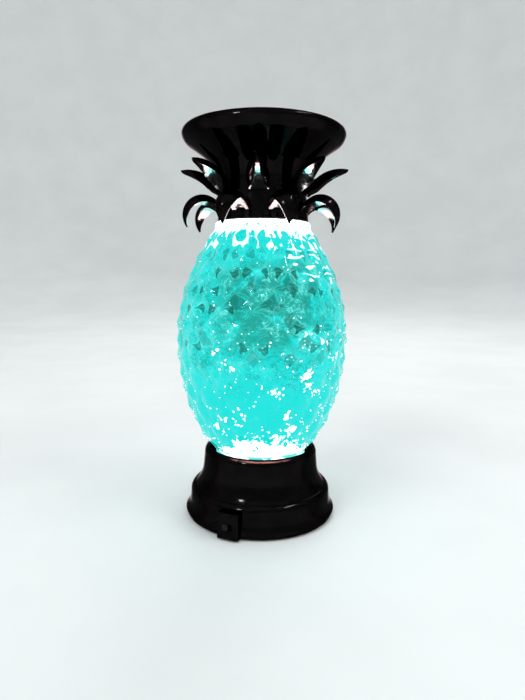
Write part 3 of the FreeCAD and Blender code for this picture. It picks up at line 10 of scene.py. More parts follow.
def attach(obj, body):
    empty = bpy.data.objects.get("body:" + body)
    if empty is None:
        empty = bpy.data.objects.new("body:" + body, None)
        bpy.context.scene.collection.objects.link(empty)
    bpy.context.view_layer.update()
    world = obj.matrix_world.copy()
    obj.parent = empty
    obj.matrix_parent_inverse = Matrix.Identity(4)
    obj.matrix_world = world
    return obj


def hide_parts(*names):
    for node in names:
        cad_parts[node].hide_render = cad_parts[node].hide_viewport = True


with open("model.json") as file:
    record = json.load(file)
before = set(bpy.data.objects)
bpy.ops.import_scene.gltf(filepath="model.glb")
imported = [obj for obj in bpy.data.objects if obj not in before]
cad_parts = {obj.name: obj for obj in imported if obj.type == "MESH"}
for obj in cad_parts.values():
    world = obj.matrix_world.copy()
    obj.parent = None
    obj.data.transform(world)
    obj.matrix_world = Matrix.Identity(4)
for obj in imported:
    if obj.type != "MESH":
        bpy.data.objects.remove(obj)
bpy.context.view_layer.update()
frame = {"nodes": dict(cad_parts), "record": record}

# Pineapple liquid motion lamp with a candle dish, lit from inside.
# Lengths that make a shape are millimetres and become metres where its mesh is made.
# Lengths in a finish, a light or the camera are metres.
# The origin is on the floor under the axis, +Z is up and the front is -Y.

MM = 0.001
NODES = frame["nodes"]

# Vessel levels and radii, as in the part

VESSEL_BOTTOM = 47.0
RELIEF_FOOT = 50.0
WAIST = 135.0
RELIEF_HEAD = 212.5
SHOULDER_TOP = 218.0
NECK_TOP = 229.0
FOOT_RING = 34.0
NECK_RADIUS = 27.5
WIDE_RADIUS = 62.1
LOWER_END, LOWER_RATIO, LOWER_POWER = 34.3, 1.182, 0.5
UPPER_END, UPPER_RATIO, UPPER_POWER = 33.6, 1.42, 0.8
OPENING_RADIUS = 26.0
WELL_TOP = 58.65
SHOULDER = [(34.9, 212.5), (34.7, 215.0), (34.2, 216.9), (33.3, 217.9), (32.0, SHOULDER_TOP),
            (NECK_RADIUS, SHOULDER_TOP), (NECK_RADIUS, NECK_TOP)]
FOOT = [(FOOT_RING, RELIEF_FOOT), (FOOT_RING, VESSEL_BOTTOM), (OPENING_RADIUS, VESSEL_BOTTOM),
        (OPENING_RADIUS, WELL_TOP)]
SHOULDER_BULGE, BULGE_FOOT = 1.3, 198.0

# Relief: rows of bosses, each row half a pitch from the next. FRONT_ANGLE is the angle of a boss of
# the first row. The PETAL values and those after them are shares of a pitch, but the depths are lengths

ROUND_PITCHES = 32
ROWS = 12
FIRST_ROW = 61.5
ROW_PITCH = 12.0417
FRONT_ANGLE = math.radians(-94.8)
RELIEF_DEPTH = 1.9
RELIEF_RISE, RELIEF_FADE = 6.0, 4.0
STEPS = 12
PETAL_NEAR, PETAL_FAR, PETAL_FLARE, PETAL_DROOP = 0.20, 0.84, 0.62, 0.15
PETAL_SLOPE, EDGE_FADE = 0.13, 0.2
PETAL_DEPTH = 0.55
TIP_ROUND = 0.26
RIB_SHARE, RIB_START = 0.38, (0.05, 0.35)
WALL_SWELL = 1.3


def envelope(height):
    """Radius of the vessel under its bosses, in millimetres."""
    height = np.asarray(height, float)
    low = height < WAIST
    end = np.where(low, LOWER_END, UPPER_END)
    reach = np.where(low, WAIST - RELIEF_FOOT, RELIEF_HEAD - WAIST)
    ratio = np.where(low, LOWER_RATIO, UPPER_RATIO)
    power = np.where(low, LOWER_POWER, UPPER_POWER)
    part = np.clip(np.abs(height - WAIST) / reach, 0, 1)
    fall = (1 - (part / ratio) ** 2) ** power
    end_fall = (1 - 1 / ratio ** 2) ** power
    return end + (WIDE_RADIUS - end) * (fall - end_fall) / (1 - end_fall)


def to_tip(u, v):
    """Offset of a point from the nearest boss tip, in pitches round and up."""
    a = (u + v) / 2
    b = (u - v) / 2
    da = a - np.round(a)
    db = b - np.round(b)
    return da + db, da - db


def smooth(value, low, high):
    """0 below low and 1 above high, with a soft change between."""
    part = np.clip((value - low) / (high - low), 0, 1)
    return part * part * (3 - 2 * part)


def petals(du, dv):
    """Above 0 inside one of the two hollows beside a boss tip, which widen away from it."""
    across = np.abs(du)
    sides = PETAL_FLARE * (across - PETAL_NEAR) - np.abs(dv + PETAL_DROOP * (across - 0.5))
    return np.minimum(sides, PETAL_FAR - across)


def boss_height(du, dv):
    """Height of the relief over a boss's foot: four ribs to a round tip, with a hollow on each side."""
    share = np.abs(du) + np.abs(dv)
    distance = np.hypot(du, dv)
    star = 2 * np.abs(du * dv) / np.maximum(distance ** 2, 1e-6)
    star = 1 + (star - 1) * smooth(distance, *RIB_START)
    cone = np.clip((1 - np.hypot(share, TIP_ROUND)) / (1 - TIP_ROUND), 0, 1)
    ribbed = cone * (1 - RIB_SHARE + RIB_SHARE * star)
    hollow = smooth(petals(du, dv), 0, PETAL_SLOPE) * smooth(1 - share, 0, EDGE_FADE)
    return RELIEF_DEPTH * ribbed - PETAL_DEPTH * hollow


def lattice(points):
    """Places of points, in metres, counted in pitches round and up from a boss tip at the front."""
    turn = np.arctan2(points[:, 1], points[:, 0]) - FRONT_ANGLE
    return turn * ROUND_PITCHES / math.tau, (points[:, 2] / MM - FIRST_ROW) / ROW_PITCH


def chance_of(tip_u, tip_v, salt):
    """The same number from 0 to 1 each time for one boss."""
    seed = np.sin((tip_u % ROUND_PITCHES) * 12.9898 + tip_v * 78.233 + salt) * 43758.5453
    return seed - np.floor(seed)


def circle(radius, level, count, start=0.0):
    """Points evenly round the axis."""
    turns = [start + math.tau * index / count for index in range(count)]
    return [(radius * math.cos(turn), radius * math.sin(turn), level) for turn in turns]


def mesh_piece(name, vertices, faces, material, sharp=None):
    """A smooth-shaded piece from points in millimetres, with edges over the sharp angle kept crisp."""
    mesh = bpy.data.meshes.new(name)
    mesh.from_pydata([Vector(point) * MM for point in vertices], [], faces)
    mesh.validate()
    mesh.polygons.foreach_set("use_smooth", [True] * len(mesh.polygons))
    if sharp is not None:
        mesh.set_sharp_from_angle(angle=math.radians(sharp))
    piece = bpy.data.objects.new(name, mesh)
    bpy.context.scene.collection.objects.link(piece)
    mesh.materials.append(material)
    return piece


# Shader nodes. A mixing node's colour slots share their names with others, so they are numbered

MIX_A, MIX_B, MIX_RESULT = 6, 7, 2


def add(tree, kind, inputs=None, **settings):
    """A node with its settings, and its inputs given as numbers, colours or other nodes' outputs."""
    made = tree.nodes.new(kind)
    for name, value in settings.items():
        setattr(made, name, value)
    for key, value in (inputs or {}).items():
        if isinstance(value, bpy.types.NodeSocket):
            tree.links.new(value, made.inputs[key])
        else:
            made.inputs[key].default_value = value
    return made


def blank(name):
    """A new material and its empty node tree."""
    made = bpy.data.materials.new(name)
    made.use_nodes = True
    made.node_tree.nodes.clear()
    return made, made.node_tree


def position(tree):
    return add(tree, "ShaderNodeTexCoord").outputs["Object"]


def coordinate(tree, axis):
    return add(tree, "ShaderNodeSeparateXYZ", {"Vector": position(tree)}).outputs[axis]


def speckle(tree, scale, detail=4.0, roughness=0.55, distortion=0.0):
    """Cloudy noise from 0 to 1, fixed to the object."""
    return add(tree, "ShaderNodeTexNoise", {"Vector": position(tree), "Scale": scale, "Detail": detail,
                                            "Roughness": roughness,
                                            "Distortion": distortion}).outputs["Fac"]


def spread(tree, value, low, high, to_low=0.0, to_high=1.0):
    """A soft change from to_low to to_high while the value goes from low to high."""
    return add(tree, "ShaderNodeMapRange", {"Value": value, "From Min": low, "From Max": high,
                                            "To Min": to_low, "To Max": to_high},
               interpolation_type="SMOOTHSTEP").outputs["Result"]


def sums(tree, operation, first, second):
    return add(tree, "ShaderNodeMath", {0: first, 1: second}, operation=operation).outputs["Value"]


def magnitude(tree, value):
    return sums(tree, "ABSOLUTE", value, 0.0)


def blend_colours(tree, share, first, second):
    """The first colour where share is 0 and the second where it is 1."""
    mixer = add(tree, "ShaderNodeMix", {"Factor": share, "A": (0, 0, 0, 1), "B": (0, 0, 0, 1)},
                data_type="RGBA")
    for slot, value in ((MIX_A, first), (MIX_B, second)):
        if isinstance(value, bpy.types.NodeSocket):
            tree.links.new(value, mixer.inputs[slot])
        else:
            mixer.inputs[slot].default_value = value
    return mixer.outputs[MIX_RESULT]


def finish_with(tree, shader):
    output = tree.nodes.new("ShaderNodeOutputMaterial")
    tree.links.new(shader.outputs[0], output.inputs["Surface"])


def surface(name, light, dark, roughness=(0.3, 0.45), scale=400.0, bump=0.02, bump_scale=900.0,
            **sockets):
    """A material whose colour and roughness vary a little, with a fine bump."""
    made, tree = blank(name)
    cloud = speckle(tree, scale)
    shader = add(tree, "ShaderNodeBsdfPrincipled", {
        "Base Color": blend_colours(tree, spread(tree, cloud, 0.3, 0.7), dark, light),
        "Roughness": spread(tree, speckle(tree, scale * 0.4), 0.3, 0.7, *roughness)})
    for key, value in sockets.items():
        shader.inputs[key.replace("_", " ")].default_value = value
    relief = add(tree, "ShaderNodeBump", {"Height": speckle(tree, bump_scale), "Strength": bump,
                                          "Distance": 0.001})
    tree.links.new(relief.outputs["Normal"], shader.inputs["Normal"])
    finish_with(tree, shader)
    return made


CYAN = (0.010, 0.790, 0.750, 1)
PALE_CYAN = (0.16, 0.93, 0.87, 1)
LINE_CYAN = (0.12, 0.80, 0.75, 1)
TEAL = (0.011, 0.400, 0.330, 1)
WHITE = (0.93, 1.0, 1.0, 1)
CLEAR_TINT = (0.97, 1.0, 1.0, 1)
PAINTED_SHADE_TINT = (0.05, 0.16, 0.125, 1)
DARK_TINT = (0.0, 0.001, 0.001, 1)
PLATING, PALER_PLATING = (0.0036, 0.0031, 0.0032, 1), (0.0060, 0.0049, 0.0052, 1)
PLATING_EDGE = (0.28, 0.20, 0.21, 1)

# Heights between which the finishes change, with their painted shade and light, and the painted glints on
# a boss: place and half size in pitches

NECK_WHITE = (0.2100, 0.2125)
NECK_SPECKS = (0.2160, 0.2190)
LIGHT_STREAKS = (0.185, 0.214)
FOOT_FRINGE = (0.0530, 0.0545)
CORE_NECK_WHITE = (0.2110, 0.2130)
CORE_FOOT_WHITE = (0.0655, 0.0670)
TEAL_FROM, TEAL_TO = (0.118, 0.145), (0.178, 0.196)
STRANDS_FROM, STRANDS_TO = (0.095, 0.125), (0.175, 0.200)
GLINTS = [((0.0, 0.30), (0.64, 0.060)), ((0.02, -0.06), (0.74, 0.052)), ((-0.16, -0.40), (0.17, 0.085))]
WARP = 0.12
GLOW_CENTRE = 0.003
COARSE_EDGE, FINE_EDGE = 0.040, 0.030


def oval(tree, around, upward, place, size):
    """Above 0 inside an oval spot on a boss."""
    x = sums(tree, "DIVIDE", sums(tree, "SUBTRACT", around, place[0]), size[0])
    y = sums(tree, "DIVIDE", sums(tree, "SUBTRACT", upward, place[1]), size[1])
    reach = sums(tree, "ADD", sums(tree, "MULTIPLY", x, x), sums(tree, "MULTIPLY", y, y))
    return sums(tree, "SUBTRACT", 1.0, reach)


def vessel_material():
    """Clear plastic whose facets get painted shade, painted bright lines and painted glints from boss to
    boss, white-hot at the neck.
    """
    made, tree = blank("clear_boss_plastic")
    read = {name: add(tree, "ShaderNodeAttribute", attribute_name=name).outputs["Fac"]
            for name in ("around", "upward", "hollow", "facet_shade", "bright_line", "glint")}
    height = coordinate(tree, "Z")
    cloud = add(tree, "ShaderNodeTexNoise", {"Vector": position(tree), "Scale": 120.0, "Detail": 1.0})
    waves = add(tree, "ShaderNodeSeparateColor", {"Color": cloud.outputs["Color"]})
    around = sums(tree, "ADD", read["around"],
                  spread(tree, waves.outputs["Red"], 0.3, 0.7, -WARP, WARP))
    upward = sums(tree, "ADD", read["upward"],
                  spread(tree, waves.outputs["Green"], 0.3, 0.7, -WARP, WARP))
    across, away = magnitude(tree, around), magnitude(tree, upward)

    # Painted shade: the hollows beside each boss tip and the facets below and beside it are tinted
    # darker.
    droop = sums(tree, "MULTIPLY", sums(tree, "SUBTRACT", across, 0.5), PETAL_DROOP)
    sides = sums(tree, "MULTIPLY", sums(tree, "SUBTRACT", across, PETAL_NEAR), PETAL_FLARE)
    sides = sums(tree, "SUBTRACT", sides, magnitude(tree, sums(tree, "ADD", upward, droop)))
    petal = sums(tree, "MINIMUM", sides, sums(tree, "SUBTRACT", PETAL_FAR, across))
    hollow = sums(tree, "MULTIPLY", spread(tree, petal, 0.0, 0.06), read["hollow"])
    below = sums(tree, "SUBTRACT", sums(tree, "MULTIPLY", upward, -1.0), across)
    beside = sums(tree, "MINIMUM", upward, sums(tree, "SUBTRACT", across, upward))
    facet_shade = spread(tree, sums(tree, "MAXIMUM", below, beside), 0.02, 0.20)
    facet_shade = sums(tree, "MULTIPLY", facet_shade, read["facet_shade"])
    tint = blend_colours(tree, sums(tree, "MAXIMUM", hollow, facet_shade), CLEAR_TINT, PAINTED_SHADE_TINT)

    # Painted bright lines along the creases between facets and round the hollows.
    ridge = sums(tree, "MULTIPLY", magnitude(tree, sums(tree, "SUBTRACT", across, away)), 0.7)
    crease = spread(tree, sums(tree, "MINIMUM", ridge, away), 0.015, 0.045, 1.0, 0.0)
    rim = spread(tree, magnitude(tree, sums(tree, "ADD", petal, 0.045)), 0.015, 0.045, 1.0, 0.0)
    pale = sums(tree, "MULTIPLY", sums(tree, "MAXIMUM", sums(tree, "MULTIPLY", crease, 0.6), rim),
                read["bright_line"])

    # Painted glints: short white dashes and spots on the bosses high up at the front right.
    glint = oval(tree, around, upward, *GLINTS[0])
    for place, size in GLINTS[1:]:
        glint = sums(tree, "MAXIMUM", glint, oval(tree, around, upward, place, size))
    glint = sums(tree, "MULTIPLY", spread(tree, glint, 0.0, 0.3), read["glint"])

    # Painted streaks of light that run down from the white-hot neck along the folds between bosses.
    fold = sums(tree, "MINIMUM", away, sums(tree, "SUBTRACT", 1.0, away))
    hole = sums(tree, "SUBTRACT", 1.0, oval(tree, across, fold, (0.5, 0.0), (1.0, 1.0)))
    streak_height = sums(tree, "ADD", height, spread(tree, speckle(tree, 70.0), 0.3, 0.7, -0.010, 0.006))
    light_streaks = sums(tree, "SUBTRACT", hole, spread(tree, streak_height, *LIGHT_STREAKS, 0.52, 0.08))
    light_streaks = spread(tree, light_streaks, 0.0, 0.03)

    neck = spread(tree, height, *NECK_WHITE)
    specks = spread(tree, speckle(tree, 380.0, detail=3.0, distortion=1.0), 0.545, 0.575)
    low_neck = sums(tree, "MULTIPLY", neck, spread(tree, height, *NECK_SPECKS, 1.0, 0.35))
    specks = sums(tree, "MULTIPLY", specks, low_neck)
    fringe = sums(tree, "MULTIPLY", spread(tree, speckle(tree, 90.0), 0.42, 0.50),
                  spread(tree, height, *FOOT_FRINGE, 1.0, 0.0))
    calm = sums(tree, "MAXIMUM", specks, fringe)
    tint = blend_colours(tree, calm, tint, DARK_TINT)

    white = sums(tree, "MULTIPLY", sums(tree, "MAXIMUM", glint, light_streaks), 1.4)
    hot = sums(tree, "MAXIMUM", white, sums(tree, "MULTIPLY", neck, 3.0))
    hot = sums(tree, "MULTIPLY", hot, sums(tree, "SUBTRACT", 1.0, calm))
    shine = sums(tree, "MAXIMUM", hot, sums(tree, "MULTIPLY", pale, 0.28))
    shine = sums(tree, "MAXIMUM", shine, calm)
    shader = add(tree, "ShaderNodeBsdfPrincipled", {
        "Base Color": tint, "Roughness": spread(tree, speckle(tree, 300.0), 0.3, 0.7, 0.0, 0.03),
        "IOR": 1.38, "Transmission Weight": 1.0, "Specular Tint": (0.5, 0.95, 0.95, 1),
        "Emission Color": blend_colours(tree, sums(tree, "MINIMUM", hot, 1.0), LINE_CYAN, WHITE),
        "Emission Strength": shine})
    waviness = add(tree, "ShaderNodeBump", {"Height": speckle(tree, 220.0), "Strength": 0.06,
                                            "Distance": 0.001})
    tree.links.new(waviness.outputs["Normal"], shader.inputs["Normal"])
    finish_with(tree, shader)
    return made


def glow_material():
    """The lit liquid: cyan, with painted shade in teal across the middle at front and back, white at neck
    and foot.
    """
    made, tree = blank("lit_liquid")
    height = coordinate(tree, "Z")
    clouds = speckle(tree, 55.0, detail=6.0, distortion=1.2)
    wisps = speckle(tree, 130.0, detail=8.0, roughness=0.65, distortion=2.5)
    coarse = sums(tree, "SUBTRACT", speckle(tree, 80.0, distortion=1.5), 0.5)
    fine = sums(tree, "SUBTRACT", speckle(tree, 330.0, detail=6.0), 0.5)
    ragged = sums(tree, "ADD", sums(tree, "MULTIPLY", coarse, COARSE_EDGE),
                  sums(tree, "MULTIPLY", fine, FINE_EDGE))
    aside = magnitude(tree, sums(tree, "SUBTRACT", coordinate(tree, "X"), GLOW_CENTRE))
    wide = spread(tree, aside, 0.016, 0.034, 0.0, 0.018)
    edge_height = sums(tree, "ADD", height, ragged)
    # Painted shade: the glow turns teal in a mottled band across the middle, strongest at the front and
    # back.
    band = sums(tree, "MULTIPLY", spread(tree, height, *TEAL_FROM),
                spread(tree, height, *TEAL_TO, 1.0, 0.0))
    band = sums(tree, "MULTIPLY", band, spread(tree, aside, 0.018, 0.040, 1.0, 0.15))
    dark = sums(tree, "MULTIPLY", band, spread(tree, clouds, 0.34, 0.52))
    colour = blend_colours(tree, dark, CYAN, TEAL)
    colour = blend_colours(tree, sums(tree, "MULTIPLY", spread(tree, wisps, 0.58, 0.72), 0.50), colour,
                           PALE_CYAN)
    hot = sums(tree, "MAXIMUM", spread(tree, edge_height, *CORE_NECK_WHITE),
               spread(tree, sums(tree, "ADD", edge_height, wide), *CORE_FOOT_WHITE, 1.0, 0.0))
    hot = sums(tree, "MULTIPLY", hot, spread(tree, speckle(tree, 420.0, detail=3.0, distortion=1.0),
                                             0.57, 0.60, 1.0, 0.0))
    colour = blend_colours(tree, hot, colour, WHITE)
    strength = add(tree, "ShaderNodeMapRange", {"Value": hot, "To Min": 1.0, "To Max": 4.0})
    shader = add(tree, "ShaderNodeEmission", {"Color": colour, "Strength": strength.outputs["Result"]})
    finish_with(tree, shader)
    made.cycles.emission_sampling = "NONE"
    return made


def wisp_material():
    """Thin strands of fine glitter that swirl just inside the vessel, painted glowing in place of the
    light they catch.
    """
    made, tree = blank("glitter_strands")
    height = coordinate(tree, "Z")
    lines = speckle(tree, 95.0, detail=7.0, roughness=0.6, distortion=2.2)
    near = magnitude(tree, sums(tree, "SUBTRACT", lines, 0.5))
    band = sums(tree, "MULTIPLY", spread(tree, height, *STRANDS_FROM),
                spread(tree, height, *STRANDS_TO, 1.0, 0.25))
    strands = sums(tree, "MULTIPLY", spread(tree, near, 0.006, 0.034, 0.85, 0.02), band)
    shade = speckle(tree, 70.0, detail=3.0)
    shader = add(tree, "ShaderNodeBsdfPrincipled", {
        "Base Color": (0, 0, 0, 1), "Roughness": 0.5, "Specular IOR Level": 0.0,
        "Emission Color": blend_colours(tree, spread(tree, shade, 0.46, 0.54), TEAL, PALE_CYAN),
        "Emission Strength": 1.0, "Alpha": sums(tree, "ADD", strands, 0.02)})
    finish_with(tree, shader)
    made.cycles.emission_sampling = "NONE"
    return made


def glitter_material():
    """Chips painted glowing white in place of the light from below that they catch, some brighter than
    others.
    """
    made, tree = blank("glitter_chips")
    shimmer = spread(tree, speckle(tree, 600.0), 0.35, 0.65, 1.6, 4.0)
    shader = add(tree, "ShaderNodeEmission", {"Color": WHITE, "Strength": shimmer})
    finish_with(tree, shader)
    made.cycles.emission_sampling = "NONE"
    return made


def plated_material(name, roughness, ripple):
    """Dark plating over plastic: mirror-like, nearly black, a little reddish where light grazes it."""
    made, tree = blank(name)
    cloud = speckle(tree, 90.0)
    colour = blend_colours(tree, spread(tree, cloud, 0.35, 0.65), PLATING, PALER_PLATING)
    shader = add(tree, "ShaderNodeBsdfPrincipled", {
        "Base Color": colour, "Metallic": 1.0, "Specular Tint": PLATING_EDGE,
        "Roughness": spread(tree, speckle(tree, 350.0, detail=8.0), 0.35, 0.7, *roughness),
        "Coat Weight": 0.05, "Coat Roughness": 0.04, "Coat IOR": 1.4})
    peel = add(tree, "ShaderNodeBump", {"Height": speckle(tree, 160.0, detail=2.0), "Strength": ripple,
                                        "Distance": 0.001})
    tree.links.new(peel.outputs["Normal"], shader.inputs["Normal"])
    finish_with(tree, shader)
    return made


# Vessel


def vessel_piece():
    """The bossed vessel. Its wall and the liquid bend light as one body, so it has no inner face."""
    columns = ROUND_PITCHES * STEPS
    low_steps = int((RELIEF_FOOT - FIRST_ROW) / ROW_PITCH * STEPS)
    high_steps = int((RELIEF_HEAD - FIRST_ROW) / ROW_PITCH * STEPS)
    levels = [RELIEF_FOOT] + [FIRST_ROW + ROW_PITCH * step / STEPS
                              for step in range(low_steps, high_steps + 1)] + [RELIEF_HEAD]
    u, height = np.meshgrid(np.arange(columns) / STEPS, levels)
    v = (height - FIRST_ROW) / ROW_PITCH
    du, dv = to_tip(u, v)
    ends = smooth(height, RELIEF_FOOT, FIRST_ROW - RELIEF_RISE)
    ends *= smooth(-height, -RELIEF_HEAD, RELIEF_FADE - RELIEF_HEAD)
    in_rows = (v - dv > -0.5) & (v - dv < ROWS + 0.5)
    radius = envelope(height) - (RELIEF_DEPTH - boss_height(du, dv) * in_rows) * ends
    radius += SHOULDER_BULGE * smooth(height, BULGE_FOOT, RELIEF_HEAD) + WALL_SWELL * ends
    angle = FRONT_ANGLE + u * math.tau / ROUND_PITCHES
    vertices = np.stack([radius * np.cos(angle), radius * np.sin(angle), height], -1).reshape(-1, 3)
    faces = []
    for row in range(len(levels) - 1):
        for column in range(columns):
            after = (column + 1) % columns
            a, b = row * columns + column, row * columns + after
            c, d = (row + 1) * columns + after, (row + 1) * columns + column
            rises = column % STEPS == (row + low_steps - 1) % STEPS
            faces += [(a, b, c), (a, c, d)] if rises else [(a, b, d), (b, c, d)]
    vertices = list(map(tuple, vertices))

    def ring(radius, level):
        vertices.extend(circle(radius, level, columns, FRONT_ANGLE))
        return len(vertices) - columns

    def join(lower, upper):
        for column in range(columns):
            after = (column + 1) % columns
            faces.append((lower + column, lower + after, upper + after, upper + column))

    last = (len(levels) - 1) * columns
    for radius, level in SHOULDER:
        following = ring(radius, level)
        join(last, following)
        last = following
    faces.append(tuple(last + column for column in range(columns)))
    last = 0
    for radius, level in FOOT:
        following = ring(radius, level)
        join(following, last)
        last = following
    faces.append(tuple(last + column for column in reversed(range(columns))))
    piece = mesh_piece("vessel_relief", vertices, faces, vessel_material(), sharp=50)
    boss_numbers(piece)
    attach(piece, "lamp")
    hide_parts("vessel")
    return piece


# Where bosses get painted shade and painted light: heights in millimetres, degrees from the front, and
# shares

DARK_FROM, DARK_TO = (112, 140), (188, 206)
DARK_FACING, FACET_FACING = (0.25, 0.6), (0.55, 0.85)
HOLLOW_CHANCE, FACET_CHANCE = (0.30, 0.45), (0.25, 0.85)
UPRIGHT_FACET, OTHER_FACET = 0.75, 0.08
GLINT_SIDE, GLINT_SPREAD = 42, 21
GLINT_FROM, GLINT_TO = 178, 208
HOLLOW_SALT, FACET_SALT, LINE_SALT = 0.0, 2.0, 3.0


def boss_numbers(piece):
    """What the vessel's finish reads from each face: its place on its boss, and how much painted shade
    and painted light it gets.

    A face has one boss, and one of the triangles between three tips, so no two bosses are alike."""
    mesh = piece.data
    corners, counts = np.zeros(len(mesh.loops), np.int32), np.zeros(len(mesh.polygons), np.int32)
    points, centres = np.zeros(3 * len(mesh.vertices)), np.zeros(3 * len(mesh.polygons))
    mesh.loops.foreach_get("vertex_index", corners)
    mesh.polygons.foreach_get("loop_total", counts)
    mesh.vertices.foreach_get("co", points)
    mesh.polygons.foreach_get("center", centres)
    u, v = lattice(centres.reshape(-1, 3))
    du, dv = to_tip(u, v)
    tip_u, tip_v = np.round(u - du), np.round(v - dv)
    corner_u, corner_v = lattice(points.reshape(-1, 3)[corners])
    half = ROUND_PITCHES / 2
    around = (corner_u - np.repeat(tip_u, counts) + half) % ROUND_PITCHES - half
    upward = corner_v - np.repeat(tip_v, counts)

    under_tip = -dv > np.abs(du)
    upright = under_tip | ((dv > 0) & (dv < np.abs(du)))
    apex_u = np.where(under_tip, tip_u, tip_u + np.sign(du))
    apex_v = np.where(under_tip, tip_v, tip_v + 1)
    height = FIRST_ROW + ROW_PITCH * tip_v
    side = (tip_u * 360 / ROUND_PITCHES + math.degrees(FRONT_ANGLE) + 90 + 180) % 360 - 180
    facing = np.abs(np.cos(np.radians(side)))
    zone = smooth(height, *DARK_FROM) * smooth(-height, -DARK_TO[1], -DARK_TO[0])
    zone = zone * smooth(facing, *DARK_FACING)
    darkness = smooth(chance_of(apex_u, apex_v, FACET_SALT), *FACET_CHANCE)
    darkness = darkness * smooth(facing, *FACET_FACING)
    lit = (np.abs(side - GLINT_SIDE) < GLINT_SPREAD) & (height > GLINT_FROM) & (height < GLINT_TO)
    # Painted shade in the hollows and on the upright facets, mostly at the front and back, painted bright
    # lines and painted glints
    per_face = {"hollow": zone * smooth(chance_of(tip_u, tip_v, HOLLOW_SALT), *HOLLOW_CHANCE),
                "facet_shade": zone * np.where(upright, UPRIGHT_FACET * darkness, OTHER_FACET),
                "bright_line": zone * (0.3 + 0.7 * chance_of(tip_u, tip_v, LINE_SALT)),
                "glint": lit.astype(float)}
    for name, values in per_face.items():
        mesh.attributes.new(name, "FLOAT", "FACE").data.foreach_set("value", values.astype(np.float32))
    for name, values in (("around", around), ("upward", upward)):
        mesh.attributes.new(name, "FLOAT", "CORNER").data.foreach_set("value", values.astype(np.float32))


# Liquid and glitter

LIQUID_INSET = 4.4
LIQUID_FOOT = [(0.0, 58.7), (26.1, 58.7), (26.1, RELIEF_FOOT)]
LIQUID_HEAD = [(24.9, 214.65), (24.9, 221.9), (0.0, 221.9)]
LIQUID_LEVELS = np.linspace(RELIEF_FOOT, RELIEF_HEAD, 84)
CORE_FOOT = [(0.0, 59.4), (26.7, 59.4), (26.7, RELIEF_FOOT + 0.6)]
CORE_HEAD = [(24.3, 214.0), (24.3, 221.2), (0.0, 221.2)]
CORE_LEVELS = np.linspace(RELIEF_FOOT + 1.5, RELIEF_HEAD, 82)
CORE_FOOT_RADIUS = 27.8
CORE_GROWTH = 0.90


def liquid_radius(height):
    """Radius of the space inside the vessel."""
    return envelope(height) - LIQUID_INSET


def core_radius(height):
    """Radius of the lit core, which is slimmer than the liquid, most of all at the waist."""
    return CORE_FOOT_RADIUS + (envelope(height) - LOWER_END) * CORE_GROWTH


def outline(foot, radius_at, levels, head):
    """Points from the axis over the foot, up the side and over the head back to the axis."""
    return foot + [(float(radius_at(level)), float(level)) for level in levels] + head


def turned_piece(name, points, material, count=144, sharp=40):
    """A body turned about the axis from points that start and end on it, bottom first."""
    vertices = [(0, 0, points[0][1])]
    faces = []
    for radius, level in points[1:-1]:
        vertices += circle(radius, level, count)
    vertices.append((0, 0, points[-1][1]))
    top = len(vertices) - 1
    rings = len(points) - 2
    for index in range(count):
        after = (index + 1) % count
        faces.append((0, 1 + after, 1 + index))
        last = 1 + (rings - 1) * count
        faces.append((last + index, last + after, top))
    for ring in range(rings - 1):
        first = 1 + ring * count
        for index in range(count):
            after = (index + 1) % count
            faces.append((first + index, first + after, first + count + after, first + count + index))
    return mesh_piece(name, vertices, faces, material, sharp)


def liquid_pieces():
    """The liquid's thin outer veil, and the lit core inside it."""
    body = turned_piece("liquid_body", outline(LIQUID_FOOT, liquid_radius, LIQUID_LEVELS, LIQUID_HEAD),
                        wisp_material())
    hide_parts("liquid")
    core = turned_piece("liquid_glow", outline(CORE_FOOT, core_radius, CORE_LEVELS, CORE_HEAD),
                        glow_material())
    for piece in (body, core):
        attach(piece, "lamp")


# Clumps of glitter: angle from the front in degrees, height, and how many chips
CLUMPS = [(33, 115, 28), (35, 108, 12), (43, 103, 6), (10.5, 104, 14), (21, 88, 8), (27, 76, 28),
          (-17, 93, 4), (-13, 85, 5), (-32, 84, 5), (-21, 80, 5), (-38, 76, 5), (-21, 121, 2),
          (-34, 130, 4), (-26, 123, 2), (-19, 119, 2), (64, 126, 10), (44, 136, 6), (30, 142, 4)]
CLUMP_ANGLE, CLUMP_HEIGHT = 0.038, 1.5
CLUMP_SHARE = (0.5, 0.9)
CLUMP_CHIP, SCATTERED_CHIP = (1.4, 2.4), (0.5, 1.5)
# Single chips: how many, the shares that drift to one side or float high, and that side in degrees
SCATTERED, DRIFTED, HIGH = 560, 0.18, 0.12
DRIFT_SIDE, DRIFT_ANGLE = 42, 0.35
LOW_FOOT, LOW_REACH, LOW_POWER = 57, 88, 1.7
HIGH_LEVELS = (130, 196)
CHIP_CORNERS, CHIP_HALF_THICKNESS, CHIP_GAP = 6, 0.11, 0.9
CHIP_TILT, CHIP_UNEVEN = (0.6, 1.57), (0.75, 1.1)


